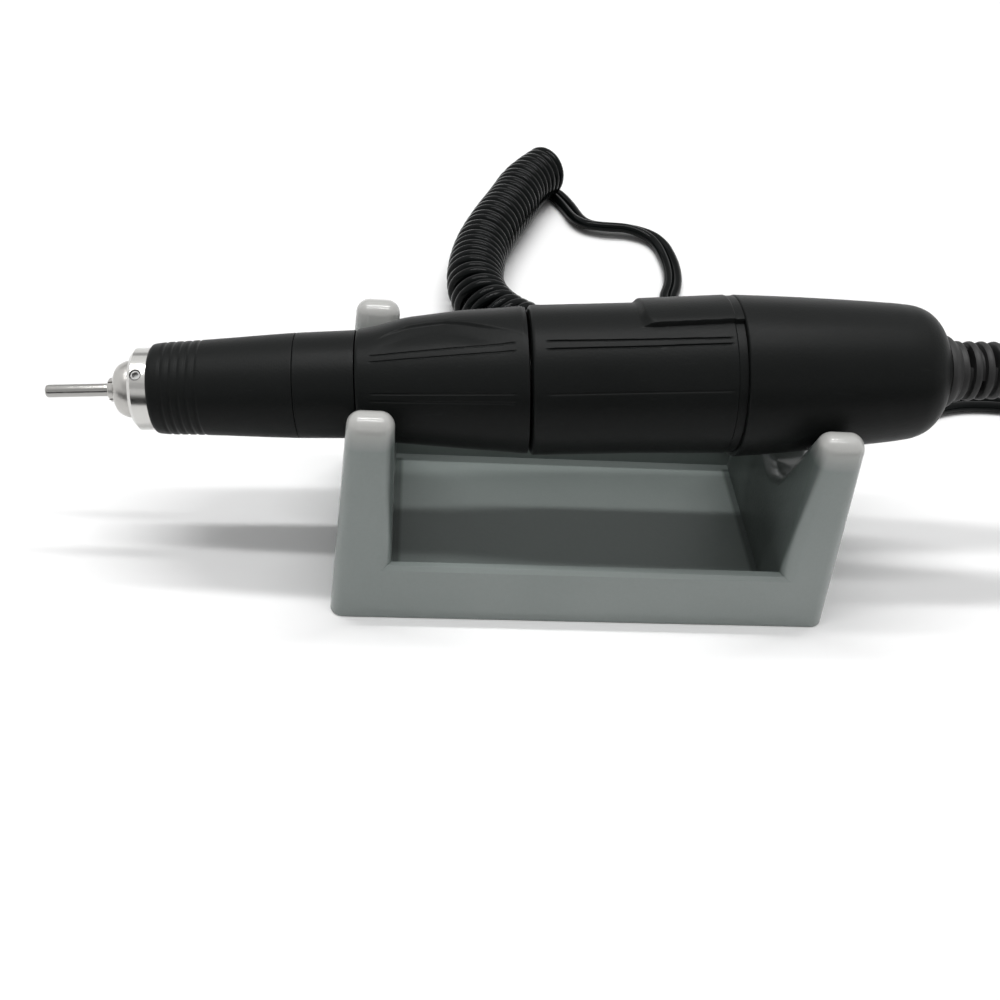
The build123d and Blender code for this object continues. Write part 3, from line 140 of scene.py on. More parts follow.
white_table = stage_material("white_table", (0.93, 0.93, 0.93), 0.6)
TABLE_TOP = -0.0002
panel("table", [(-2, -2, TABLE_TOP), (2, -2, TABLE_TOP), (2, 2, TABLE_TOP), (-2, 2, TABLE_TOP)], white_table)
for name, corners, axis, low, high, dim, bright in (
        ("dark_cloth", [(-0.9, -0.25, 0.0), (-0.9, -0.25, 0.22), (0.9, -0.25, 0.22), (0.9, -0.25, 0.0)],
         2, 0.085, 0.14, 0.02, 0.75),
        ("back_wall", [(-2.6, 2.6, 1.0), (-2.6, 2.6, 1.9), (2.6, 2.6, 1.9), (2.6, 2.6, 1.0)],
         2, 1.0, 1.9, 0.5, 0.3),
        ("ceiling", [(-2.6, -2.6, 1.9), (-2.6, 2.6, 1.9), (2.6, 2.6, 1.9), (2.6, -2.6, 1.9)],
         1, -1.9, 0.3, 0.5, 1.0)):
    material = stage_material(name, (0.0, 0.0, 0.0), 1.0)
    shader = material.node_tree.nodes["Principled BSDF"]
    place = Value(material.node_tree.nodes.new("ShaderNodeTexCoord").outputs["Object"])
    glow = place.node("SeparateXYZ", {}, {"Vector": place}, out=axis).between(low, high)
    glow = glow.shades((dim, dim, dim), (bright, bright, bright))
    material.node_tree.links.new(shader.inputs["Emission Color"], glow.socket)
    shader.inputs["Emission Strength"].default_value = 1.0
    made = panel(name, corners, material)
    made.visible_camera = made.visible_diffuse = made.visible_shadow = False

world = bpy.data.worlds.new("studio")
bpy.context.scene.world = world
world.use_nodes = True
sky = world.node_tree.nodes["Background"]
rays = world.node_tree.nodes.new("ShaderNodeLightPath").outputs
seen = Value(rays["Is Camera Ray"]) + Value(rays["Is Glossy Ray"]) + Value(rays["Is Transmission Ray"])
seen = seen.between(0.0, 1.0)
heading = Value(world.node_tree.nodes.new("ShaderNodeTexCoord").outputs["Generated"])
height = heading.node("SeparateXYZ", {}, {"Vector": heading}, out=2).between(0.0, 1.0)
OVERHEAD, ALL_ROUND = 0.65, 0.1
strength = seen + (1 - seen) * (height * height * OVERHEAD + ALL_ROUND)
world.node_tree.links.new(sky.inputs["Strength"], strength.socket)
sky.inputs["Color"].default_value = (1.0, 1.0, 1.0, 1.0)

for name, place, watts in (("near_tube", (-0.05, -0.1, 1.5), 8.0), ("far_tube", (-0.05, 0.36, 1.5), 11.5)):
    lamp = bpy.data.lights.new(name, "AREA")
    lamp.shape = "RECTANGLE"
    lamp.size, lamp.size_y, lamp.energy = 1.3, 0.07, watts
    made = bpy.data.objects.new(name, lamp)
    bpy.context.scene.collection.objects.link(made)
    made.matrix_world = Matrix.Translation(place)

# ---- Flex from the handpiece to the curls ----
# Twin flex 5.2 mm wide and 2.7 mm thick in black PVC, with a groove along its middle. It leaves the strain
# relief, drops to the table beside the handpiece and comes back behind it.
FLEX_WIDE, FLEX_THICK, WEB = 0.0052, 0.0027, 0.25


def spline_points(name, route, step):
    """Evenly spaced points, step apart, along the smooth spline whose control points are the route."""
    curve = bpy.data.curves.new(name, "CURVE")
    curve.dimensions = "3D"
    curve.resolution_u = 24
    spline = curve.splines.new("NURBS")
    spline.points.add(len(route) - 1)
    spline.points.foreach_set("co", np.column_stack([route, np.ones(len(route))]).ravel())
    spline.order_u = 3
    spline.use_endpoint_u = True
    guide = bpy.data.objects.new(name, curve)
    mesh = bpy.data.meshes.new_from_object(guide)
    points = np.empty(3 * len(mesh.vertices))
    mesh.vertices.foreach_get("co", points)
    points = points.reshape(-1, 3)
    bpy.data.meshes.remove(mesh)
    bpy.data.objects.remove(guide)
    bpy.data.curves.remove(curve)
    run = np.concatenate([[0.0], np.cumsum(np.linalg.norm(np.diff(points, axis=0), axis=1))])
    places = np.linspace(0.0, run[-1], max(2, round(run[-1] / step)) + 1)
    return np.column_stack([np.interp(places, run, points[:, k]) for k in range(3)])


def length_of(points):
    """Length of the line through the points."""
    return float(np.linalg.norm(np.diff(points, axis=0), axis=1).sum())


def surface(name, grid, material, hollow=False):
    """Mesh over a grid of points, rows by columns. The columns close into rings. A hollow piece's last row
    joins its first, and otherwise the end rows are single points."""
    rows, columns = grid.shape[:2]
    row = np.arange(rows if hollow else rows - 1)[:, None]
    column = np.arange(columns)[None, :]
    beyond, beside = (row + 1) % rows, (column + 1) % columns
    corners = np.stack([row * columns + column, beyond * columns + column, beyond * columns + beside,
                        row * columns + beside], axis=-1).reshape(-1, 4)
    mesh = bpy.data.meshes.new(name)
    mesh.from_pydata(grid.reshape(-1, 3).tolist(), [], corners.tolist())
    tidy = bmesh.new()
    tidy.from_mesh(mesh)
    bmesh.ops.remove_doubles(tidy, verts=tidy.verts, dist=1e-7)
    tidy.to_mesh(mesh)
    tidy.free()
    mesh.shade_smooth()
    mesh.set_sharp_from_angle(angle=np.radians(32))
    mesh.materials.append(material)
    made = bpy.data.objects.new(name, mesh)
    bpy.context.scene.collection.objects.link(made)
    return made


def flex_skin(name, path, thick, material):
    """Twin flex along a path: two round strands side by side. Each is a circle of angle q about its own
    middle, and past its crest it runs down to a web at WEB of the half thickness."""
    along = np.gradient(path, axis=0)
    along /= np.linalg.norm(along, axis=1)[:, None]
    thick = thick - along * (thick * along).sum(axis=1)[:, None]
    thick /= np.linalg.norm(thick, axis=1)[:, None]
    wide = np.cross(along, thick)
    q = np.radians([0, 25, 50, 75, 100, 122, 142, 158, 170])
    strand, crest = 0.5 + 0.5 * np.cos(q), np.where(q > np.pi / 2, WEB + (1 - WEB) * np.sin(q), np.sin(q))
    across = np.concatenate([strand, -strand[::-1], -strand[1:], strand[:0:-1]])
    up = np.concatenate([crest, crest[::-1], -crest[1:], -crest[:0:-1]])
    rings = (path[:, None] + wide[:, None] * across[None, :, None] * (FLEX_WIDE / 2)
             + thick[:, None] * up[None, :, None] * (FLEX_THICK / 2))
    ends = [np.repeat(path[k][None, None], len(up), axis=1) for k in (0, -1)]
    return surface(name, np.concatenate([ends[0], rings, ends[1]]), material)


def finish(name, **plain):
    """A material whose shader has these plain values, and the coordinates of the object that wears it."""
    made = bpy.data.materials.new(name)
    made.use_nodes = True
    shader = made.node_tree.nodes["Principled BSDF"]
    for socket, value in plain.items():
        shader.inputs[socket.replace("_", " ")].default_value = value
    place = Value(made.node_tree.nodes.new("ShaderNodeTexCoord").outputs["Object"])
    return made, shader, place


def feed(shader, name, value):
    """Links a value to the shader's socket of this name."""
    shader.id_data.links.new(shader.inputs[name], value.socket)


def bump(height, strength, depth):
    """Normals of a relief that is depth metres deep as height goes from 0 to 1, eased by strength."""
    return height.node("Bump", {}, {"Height": height, "Strength": strength, "Distance": depth})


flex_pvc, shader, place = finish("flex_pvc", Specular_IOR_Level=0.085)
smears = place.noise(160.0, 4.0)
feed(shader, "Base Color", smears.shades((0.0015, 0.002, 0.002), (0.004, 0.005, 0.005)))
feed(shader, "Roughness", smears * 0.14 + 0.03)
feed(shader, "Normal", bump(place.noise(2600.0, 2.0), 0.35, 0.00004))

lead_route = np.array([
    (91.7, 0.0, 48.1), (96.7, 0.0, 48.527), (112.0, 0.0, 49.734), (128.5, 2.6, 46.0), (140.0, 7.0, 35.0),
    (146.5, 12.5, 20.0), (148.0, 20.5, 7.5), (144.5, 31.5, 1.4), (135.5, 42.0, 1.35), (123.0, 48.5, 1.35),
    (110.0, 50.5, 1.35), (98.0, 49.2, 1.35), (86.6, 43.0, 1.35), (74.6, 39.3, 1.35), (63.7, 38.15, 1.35),
    (56.5, 40.9, 1.35), (51.747, 46.836, 1.35), (50.587, 54.246, 1.35), (50.0, 58.0, 1.35)]) / 1000
lead_path = spline_points("lead_line", lead_route, 0.0015)
lead = flex_skin("flex_lead", lead_path, np.tile((0.0, 0.0, 1.0), (len(lead_path), 1)), flex_pvc)
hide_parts("cord_lead")
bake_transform(lead)

# ---- Curls and tail ----
# The same flex wound into 28 curls, 15 mm across, set by heat, and a tail without curls to the plug. The
# curls lie on the table in an easy bend, a little unevenly, and the tail tilts once towards its edge.
CURLS, STEPS_A_CURL, CURL_R = 28, 40, 0.0075
UNEVEN, UNEVEN_WAVES = 0.35, 5
curl_route = np.array([(50, 58, 7.5), (4, 58, 7.5), (-11.8, 65.4, 7.5), (-18.8, 79.3, 7.5), (-17.6, 97, 7.5),
                       (-12.8, 112.8, 7.5), (-6.9, 127, 7.5), (-2.1, 140.4, 7.5), (5.0, 149.8, 7.5)]) / 1000
axis = spline_points("curl_line", curl_route, length_of(curl_route) / (CURLS * STEPS_A_CURL))
share = np.linspace(0.0, 1.0, len(axis))
turn = 2 * np.pi * CURLS * share
turn = turn + UNEVEN * np.sin(2 * np.pi * UNEVEN_WAVES * share) * np.sin(np.pi * share)
along = np.gradient(axis, axis=0)
along /= np.linalg.norm(along, axis=1)[:, None]
side = np.column_stack([along[:, 1], -along[:, 0], np.zeros(len(axis))])
outwards = side * np.sin(turn)[:, None] - np.array([0.0, 0.0, 1.0]) * np.cos(turn)[:, None]
curl_path = axis + outwards * (CURL_R - FLEX_THICK / 2)

tail_route = np.array([
    (5.0, 149.8, 1.35), (8.0, 147.5, 1.35), (11.2, 140.0, 1.35), (14.0, 128.6, 1.35), (20.2, 126.2, 1.35),
    (29.0, 126.6, 1.35), (36.4, 122.2, 1.35), (38.4, 110.5, 1.35), (37.6, 99.0, 1.35), (33.9, 89.5, 1.35),
    (36.5, 79.0, 1.35), (44.0, 71.8, 3.4), (52.5, 68.6, 6.2), (60.5, 66.6, 6.2)]) / 1000
tail_path = spline_points("tail_line", tail_route, 0.001)[1:]
run = np.linspace(0.0, 1.0, len(tail_path))
TIP, TIP_AT, TIP_SPREAD = np.radians(31), 0.27, 0.11
tip = TIP * np.exp(-((run - TIP_AT) / TIP_SPREAD) ** 2)
tail_path[:, 2] += (np.abs(np.sin(tip)) * FLEX_WIDE + np.cos(tip) * FLEX_THICK - FLEX_THICK) / 2
aside = np.gradient(tail_path, axis=0)
aside = np.column_stack([aside[:, 1], -aside[:, 0], np.zeros(len(aside))])
aside /= np.linalg.norm(aside, axis=1)[:, None]
tipped = -np.array([0.0, 0.0, 1.0]) * np.cos(tip)[:, None] + aside * np.sin(tip)[:, None]
cord_path = np.concatenate([curl_path, tail_path])
curls = flex_skin("flex_curls", cord_path, np.concatenate([outwards, tipped]), flex_pvc)
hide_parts("curly_cord", "cord_tail")
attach(curls, "cradle")

# ---- Plug ----
# The plug behind the handpiece: a moulded rubber boot and grip, a plated shell, and three brass contacts in a
# white insert.
moulded_rubber, shader, place = finish("moulded_rubber", Specular_IOR_Level=0.4)
feed(shader, "Base Color", place.noise(90.0, 3.0).shades((0.007, 0.007, 0.007), (0.014, 0.014, 0.014)))
feed(shader, "Roughness", place.noise(300.0, 3.0) * 0.2 + 0.45)
feed(shader, "Normal", bump(place.noise(3200.0, 3.0), 0.5, 0.00005))


def along_handpiece(place):
    """How far a place lies along the handpiece's axis, which rises 4.51 degrees towards the cord."""
    return place.node("VectorMath", {"operation": "DOT_PRODUCT"}, {0: place, 1: (0.9969, 0.0, 0.0786)}, out=1)


def metal(name, colour, roughness, streak):
    """Metal with fine tool marks round the handpiece's axis, and roughness that varies in soft patches."""
    made, shader, place = finish(name, Metallic=1.0)
    marks = place.node("CombineXYZ", {}, {0: along_handpiece(place) * streak}).noise(1.0, 3.0, 0.7)
    patches = place.noise(120.0, 2.0)
    feed(shader, "Base Color", patches.shades([0.9 * part for part in colour], colour))
    feed(shader, "Roughness", patches * 0.08 + marks * 0.08 + (roughness - 0.06))
    feed(shader, "Normal", bump(marks, 0.25, 0.00002))
    return made


def dress(material, *names):
    """Puts a material on carried-over parts."""
    for name in names:
        mesh = nodes[name].data
        mesh.materials.clear()
        mesh.materials.append(material)


plated = metal("nickel_plate", (0.72, 0.71, 0.69), 0.2, 2500.0)
brass = metal("brass", (0.78, 0.58, 0.26), 0.28, 2500.0)
nylon, shader, place = finish("white_nylon", Specular_IOR_Level=0.4)
feed(shader, "Base Color", place.noise(70.0, 2.0).shades((0.72, 0.71, 0.67), (0.8, 0.79, 0.75)))
feed(shader, "Roughness", place.noise(400.0, 2.0) * 0.15 + 0.42)
feed(shader, "Normal", bump(place.noise(2400.0, 2.0), 0.3, 0.00004))
dress(moulded_rubber, "plug_boot", "plug_grip")
dress(plated, "plug_shell")
dress(nylon, "plug_insert")
dress(brass, "plug_contacts")

# ---- Cradle ----
# One moulding in grey ABS with a fine spark finish: a tray between two end walls whose tops are notched into
# pairs of round prongs. All its edges are softly rounded by the mould. The prongs' tops are painted paler, a
# painted highlight where the light from above falls on them. The tray's floor is matt and painted a little
# darker, and the end walls' inner faces are matt and painted much darker: painted shade inside the tray.
grey_abs, shader, place = finish("grey_abs", Specular_IOR_Level=0.22, Coat_Roughness=0.12)
cloud = place.noise(35.0, 3.0)
speck = place.noise(1500.0, 2.0)
lengthwise, inwards, upwards = [place.node("SeparateXYZ", {}, {"Vector": place}, out=k) for k in range(3)]
from_middle = lengthwise.maths("ABSOLUTE", lengthwise)
# In metres: inside holds what lies between the rails and between the end walls, below the prongs' tops.
# The prongs' tops, from here up, get a painted highlight: they are painted paler.
painted_highlight = upwards.between(0.0385, 0.043)
inside = (1 - from_middle.between(0.0375, 0.0385)) * inwards.between(-0.0212, -0.0205)
inside = inside * (1 - inwards.between(0.0192, 0.0198)) * (1 - painted_highlight)
# Painted shade: the end walls' inner faces are painted much darker, and the tray's floor a little darker.
wall_shade = inside * from_middle.between(0.0352, 0.036)
floor = inside * (1 - upwards.between(0.0034, 0.0045))
grey = (cloud * 0.7 + speck * 0.3).shades((0.192, 0.222, 0.211), (0.246, 0.276, 0.265))
# Painted highlight: the prongs' tops are painted paler.
grey = painted_highlight.shades(grey, (0.44, 0.44, 0.425))
# The painted shade darkens the tray's floor and the end walls' inner faces.
feed(shader, "Base Color", (floor * 0.06 + wall_shade * 0.6).shades(grey, (0.03, 0.04, 0.036)))
feed(shader, "Roughness", cloud * 0.16 + 0.26)
feed(shader, "Coat Weight", (cloud * 0.5 + 0.65) * (1 - (floor + wall_shade).between(0.0, 1.0)))
feed(shader, "Normal", bump(place.noise(1900.0, 3.0) + place.noise(260.0, 2.0) * 0.6, 0.3, 0.00009))


def rounded_copy(name, node, material, width, angle):
    """A merged copy of a CAD part with its flat faces made whole. Its edges that turn more than angle degrees
    stay sharp, or are rounded where width isn't 0."""
    mesh = nodes[node].data.copy()
    tidy = bmesh.new()
    tidy.from_mesh(mesh)
    bmesh.ops.remove_doubles(tidy, verts=tidy.verts, dist=2e-6)
    bmesh.ops.dissolve_limit(tidy, angle_limit=np.radians(3), verts=tidy.verts, edges=tidy.edges)
    tidy.to_mesh(mesh)
    tidy.free()
    mesh.name = name
    mesh.shade_smooth()
    mesh.set_sharp_from_angle(angle=np.radians(angle))
    mesh.materials.clear()
    mesh.materials.append(material)
    made = bpy.data.objects.new(name, mesh)
    bpy.context.scene.collection.objects.link(made)
    if width:
        bevel = made.modifiers.new("rounding", "BEVEL")
        bevel.width, bevel.segments, bevel.limit_method = width, 3, "ANGLE"
        bevel.angle_limit = np.radians(angle)
        bevel.harden_normals = True
    return made


cradle = rounded_copy("cradle_moulding", "cradle", grey_abs, 0.0007, 28)
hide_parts("cradle")
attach(cradle, "cradle")

# ---- Front sleeve and its base ----
# A slim sleeve in black rubber-like plastic, pushed on the steel barrel: five grip grooves behind its rounded
# front edge, fine rings all along, and a thin joint with the plain base ring. Sizes are in mm along the axis.
AXIS_HEIGHT, TILT, ROLL = 40.9, np.radians(4.51), np.radians(29.5)


def in_hand(s, a, r):
    """The point s mm along the handpiece's axis and r mm off it, at angle a from the middle of the pad."""
    across, up = r * np.sin(a + ROLL), r * np.cos(a + ROLL)
    s = s + np.zeros_like(across)
    return np.stack([s * np.cos(TILT) - up * np.sin(TILT), across,
                     AXIS_HEIGHT + s * np.sin(TILT) + up * np.cos(TILT)], axis=-1) / 1000


def flowing(knots, count):
    """A smooth outline through (s, r) knots: between two of them a cubic in the length along their chords,
    with the slopes that the neighbouring knots give."""
    knots = np.array(knots, float)
    run = np.concatenate([[0.0], np.cumsum(np.hypot(*np.diff(knots, axis=0).T))])
    slope = np.gradient(knots, run, axis=0)
    at = np.linspace(0.0, run[-1], count)
    k = np.clip(np.searchsorted(run, at, side="right") - 1, 0, len(run) - 2)
    width = (run[k + 1] - run[k])[:, None]
    t = ((at - run[k])[:, None]) / width
    return (knots[k] * (1 + 2 * t) * (1 - t) ** 2 + slope[k] * width * t * (1 - t) ** 2
            + knots[k + 1] * t ** 2 * (3 - 2 * t) + slope[k + 1] * width * t ** 2 * (t - 1)).T


def casing(name, s, r, inside, material, angles):
    """A hollow turned piece: its outer skin has radius r at each station s, or at each station and angle, and
    its inner wall follows the outline inside back to the front."""
    inside = np.array(inside, float)
    r = np.broadcast_to(r.reshape(len(s), -1), (len(s), len(angles)))
    rings = np.repeat(inside[:, 1][:, None], len(angles), axis=1)
    stations = np.concatenate([s, inside[:, 0]])[:, None]
    return surface(name, in_hand(stations, angles[None, :], np.concatenate([r, rings])), material,
                   hollow=True)


def smooth_step(value, low, high):
    """0 below low, 1 above high, and a smooth S between them."""
    t = np.clip((value - low) / (high - low), 0, 1)
    return t * t * (3 - 2 * t)


RING_PITCH = 0.00045


def satin(name, colour, roughness, rings=0.0):
    """Satin black plastic: mould grain, faint handling smears, and fine turned rings where asked."""
    made, shader, place = finish(name, Specular_IOR_Level=0.09)
    cloud = place.noise(55.0, 4.0)
    grain = place.noise(2300.0, 3.0)
    scratch = place.node("Mapping", {}, {"Vector": place, "Rotation": (0.3, 0.5, 0.4),
                                         "Scale": (180.0, 2600.0, 1200.0)}).noise(1.0, 1.0)
    marks = scratch.between(0.70, 0.78) * cloud
    feed(shader, "Base Color", (cloud * 0.6 + marks * 0.7).shades([0.75 * part for part in colour],
                                                                 [1.5 * part for part in colour]))
    feed(shader, "Roughness", cloud * 0.14 + marks * 0.1 + (roughness - 0.07))
    height = grain + cloud * 0.5
    if rings:
        distance = along_handpiece(place)
        height = height + distance.maths("SINE", distance * (2 * np.pi / RING_PITCH)) * rings
    feed(shader, "Normal", bump(height, 0.4, 0.00006))
    return made


sleeve_black = satin("sleeve_black", (0.0066, 0.0074, 0.0072), 0.44, rings=0.08)
casing_black = satin("casing_black", (0.0064, 0.0072, 0.0070), 0.40)
even_angles = np.radians(np.arange(-180, 180, 3.0))

SLEEVE_FRONT, SLEEVE_REAR, BASE_FRONT, BASE_REAR, BORE = -81.1, -55.14, -55.08, -44.25, 7.04
s, r = flowing([(-80.3, 8.22), (-79.0, 8.35), (-74.0, 8.58), (-71.3, 8.72), (-66.0, 9.02), (-60.4, 9.36),
                (-55.4, 9.62)], 150)
s = np.concatenate([[SLEEVE_FRONT, -81.0, -80.75], s, [-55.2, SLEEVE_REAR]])
r = np.concatenate([[7.4, 7.8, 8.08], r, [9.6, 9.5]])
GROOVES, GROOVE_FIRST, GROOVE_PITCH, GROOVE_DEPTH = 5, -78.4, 1.5, 0.17
count = (s - GROOVE_FIRST) / GROOVE_PITCH
off = np.abs((count + 0.5) % 1 - 0.5) * GROOVE_PITCH
r = r - GROOVE_DEPTH * (1 - smooth_step(off, 0.08, 0.42)) * (count > -0.5) * (count < GROOVES - 0.5)
sleeve = casing("grip_sleeve", s, r, [(SLEEVE_REAR, BORE), (SLEEVE_FRONT, BORE)], sleeve_black, even_angles)
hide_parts("front_sleeve")
s, r = flowing([(-54.95, 9.63), (-50.0, 9.76), (-44.5, 9.9)], 16)
s = np.concatenate([[BASE_FRONT, -55.04], s, [-44.3, BASE_REAR]])
r = np.concatenate([[9.45, 9.57], r, [9.84, 9.6]])
base = casing("grip_sleeve_base", s, r, [(BASE_REAR, BORE), (BASE_FRONT, BORE)], casing_black, even_angles)
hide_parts("sleeve_base")
for made in (sleeve, base):
    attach(made, "handpiece")

# ---- Twist collar ----
# The tapered collar that turns to free the bit, black ABS: engraved line pairs along it, and on top a raised
# waisted field that carries on the housing's pad, with a shallow dip for the thumb on each side of it.
COLLAR_FRONT, COLLAR_REAR = -44.1, -13.3
LINE_HALF, MEAN_R = 0.22, 13.0


def trim_lines(s, a, front, rear, lines):
    """Depth of the engraved lines at each station and angle. A line is an angle at the front, one at the rear
    and a depth: a round groove that fades out before the piece's ends."""
    reach = smooth_step(s, front + 2.6, front + 3.1) * (1 - smooth_step(s, rear - 2.9, rear - 2.4))
    depth = 0.0
    for first, last, deep in lines:
        off = (np.abs(a) - np.radians(first + (last - first) * (s - front) / (rear - front))) * MEAN_R
        depth = depth + deep * np.sqrt(np.clip(1 - (off / LINE_HALF) ** 2, 0, 1))
    return reach * depth


def angles_with(*bands):
    """Angles all round, every 2.5 degrees, and closer in the bands where an edge or a line runs."""
    steps = [np.arange(0, 180.1, 2.5)] + [np.arange(*band) for band in bands]
    half = np.unique(np.round(np.concatenate(steps), 3))
    return np.radians(np.concatenate([-half[1:-1][::-1], half]))


angles = angles_with((18, 50, 0.8), (50, 62.6, 0.28), (90.2, 101, 0.35))
s = np.linspace(-43.75, -13.85, 125)
r = np.interp(s, [-43.75, -35.7, -24.7, -13.85], [10.12, 11.15, 12.33, 13.46])
s = np.concatenate([[COLLAR_FRONT, -44.0], s, [-13.5, -13.38, COLLAR_REAR]])
r = np.concatenate([[9.6, 9.95], r, [13.42, 13.1, 12.2]])[:, None]
sg, ag = s[:, None], np.abs(angles)[None, :]
edge = np.interp(s, [-43.4, -42.1, -38.6, -34.7, -31.5, -28.3, -24.8, -21.3, -17.4, -14.9, COLLAR_REAR],
                 [42, 39.7, 29.9, 22.9, 20.8, 21.3, 26, 32.3, 38.9, 44.2, 46.5])
edge = np.radians(edge[:, None])
FIELD_STEP, FIELD_CROWN, DIP_DEPTH, DIP_OFF, DIP_SPREAD = 0.3, 0.5, 0.45, 0.18, 0.19
field = 1 - smooth_step(ag, edge - 0.015, edge + 0.045)
crown = np.clip(1 - (ag / (edge + 0.25)) ** 2, 0, 1)
ends = smooth_step(sg, -42.5, -34.0) * (1 - 0.65 * smooth_step(sg, -27.0, -14.5))
ends = ends * (1 - smooth_step(sg, -14.3, -13.85))
dip = np.exp(-((ag - edge - DIP_OFF) / DIP_SPREAD) ** 2)
dip = dip * smooth_step(sg, -41, -31) * (1 - smooth_step(sg, -24, -14.5))
r = r + ends * (FIELD_STEP * field + FIELD_CROWN * crown) - DIP_DEPTH * dip * (1 - field)
r = r - trim_lines(sg, ag, COLLAR_FRONT, COLLAR_REAR,
                   [(54.8, 52.3, 0.16), (61.3, 59.4, 0.16), (92.2, 92.2, 0.1), (99.5, 99.5, 0.1)])
collar = casing("release_collar", s, r,
                [(COLLAR_REAR, 8.6), (-43.4, 8.6), (-43.4, 7.07), (COLLAR_FRONT, 7.07)], casing_black, angles)
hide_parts("twist_collar")
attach(collar, "collar")

# ---- Motor housing ----
# The black ABS shell over the motor: a raised pad on top that ends in a ramp, engraved lines along the
# sides, and a threaded spigot inside the rear cap. The pad is left bare.
HOUSING_FRONT, HOUSING_REAR = -13.0, 24.6
angles = angles_with((40, 47, 0.25), (51.5, 60.8, 0.28), (91.4, 94, 0.28))
s = np.concatenate([np.linspace(-12.4, 5.9, 50), np.linspace(6.05, 9.8, 42), np.linspace(10.1, 22.8, 36),
                    np.linspace(22.88, 23.08, 6), [23.8, 24.55]])
r = np.interp(s, [-12.4, 6.0, HOUSING_REAR], [13.78, 13.88, 14.28])
s = np.concatenate([[HOUSING_FRONT, -12.95, -12.7], s])
r = np.concatenate([[12.2, 13.1, 13.6], r])[:, None]
sg, ag = s[:, None], np.abs(angles)[None, :]
# The pad's top is part of a circle about a point PAD_SINK below the axis, a little flatter than the shell.
PAD_RISE, PAD_SINK, PAD_HALF = 0.75, 1.25, 10.0
top = np.sqrt((r + PAD_RISE + PAD_SINK) ** 2 - (PAD_SINK * np.sin(ag)) ** 2) - PAD_SINK * np.cos(ag)
across = top * np.sin(ag)
side = 1 - smooth_step(across, PAD_HALF - 0.05, PAD_HALF + 0.25)
corner = smooth_step(PAD_HALF - across, 0.0, 2.6)
climb = smooth_step(sg, 6.3, 7.6 + 1.5 * (1 - corner))
edge_round = 0.12 * smooth_step(across, PAD_HALF - 0.8, PAD_HALF)
r = r + np.maximum(top - r - edge_round, 0) * side * climb * (ag < 1.2)
r = r - 0.2 * smooth_step(sg, 22.85, 23.1)
r = r - trim_lines(sg, ag, HOUSING_FRONT, HOUSING_REAR,
                   [(53.0, 54.8, 0.28), (59.8, 59.3, 0.28), (92.7, 92.7, 0.12)])
housing = casing("housing_shell", s, r, [(HOUSING_REAR, 13.0), (28.6, 13.0), (28.6, 12.0), (-10.4, 12.0),
                                         (-10.4, BORE), (HOUSING_FRONT, BORE)], casing_black, angles)
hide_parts("motor_housing")

# ---- Rear cap ----
# The black ABS cap, screwed on the housing: it stands proud at a small bevelled edge, tapers and closes in a
# round shoulder where the strain relief comes out.
CAP_FRONT, CAP_REAR = 24.63, 63.7
s, r = flowing([(24.95, 14.95), (34.0, 14.46), (44.0, 13.76), (52.0, 13.1), (56.0, 12.7), (58.6, 12.25),
                (60.6, 11.35), (62.1, 9.9), (63.1, 8.1), (63.55, 7.05)], 90)
s = np.concatenate([[CAP_FRONT, 24.65, 24.75], s, [63.65, CAP_REAR]])
r = np.concatenate([[13.9, 14.5, 14.8], r, [6.8, 6.4]])
cap = casing("cap_shell", s, r, [(CAP_REAR, 3.25), (60.1, 3.25), (60.1, 5.7), (52.0, 11.0), (28.9, 13.05),
                                 (CAP_FRONT, 13.05)], casing_black, even_angles)
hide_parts("rear_cap")
for made in (housing, cap):
    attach(made, "handpiece")

# ---- Strain relief ----
# A soft rubber sleeve on the flex behind the cap: a shoulder and thirteen ribs. Each gap is deeper in two
# windows on opposite sides, in turn at right angles, so that it bends evenly.
PITCH, RIBS, RELIEF_FRONT, RELIEF_END = 2.35, 13, 63.73, 97.0
RIB_START = RELIEF_END - RIBS * PITCH
GAP_DEPTH, WINDOW_DEPTH, CREST = 0.8, 1.6, 0.18
s = np.concatenate([[RELIEF_FRONT, 63.78, 63.9], np.linspace(64.1, RIB_START - 0.1, 12),
                    np.linspace(RIB_START, 96.85, 12 * RIBS + 1), [96.97, RELIEF_END]])
r = np.interp(s, [RELIEF_FRONT, 63.78, 63.9, 64.6, 65.2, 65.8, RIB_START, 96.85, 96.97, RELIEF_END],
              [6.4, 6.7, 6.85, 6.85, 6.6, 6.0, 5.5, 4.35, 4.2, 3.9])
step = (s - RIB_START) / PITCH
gap = smooth_step(step % 1, 0.48, 0.58) * (1 - smooth_step(step % 1, 0.93, 1.0))
gap = gap * (step > 0) * (step < RIBS - 1)
angles = np.radians(np.arange(-180, 180, 4.0))
turned_by = np.radians(47.5 + 90 * (np.floor(step) % 2))[:, None]
window = 1 - smooth_step(np.abs(np.sin(angles[None, :] + turned_by)) * r[:, None], 2.0, 2.5)
crest = CREST * np.cos(2 * np.pi * (step - 0.3)) * (step > 0) * (step < RIBS)
r = r[:, None] + crest[:, None] - gap[:, None] * (GAP_DEPTH + WINDOW_DEPTH * window)
relief = casing("relief_sleeve", s, r, [(RELIEF_END, 2.0), (58.7, 2.0), (58.7, 4.6), (60.1, 4.6),
                                        (60.1, 3.2), (RELIEF_FRONT, 3.2)], moulded_rubber, angles)
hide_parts("strain_relief")
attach(relief, "handpiece")

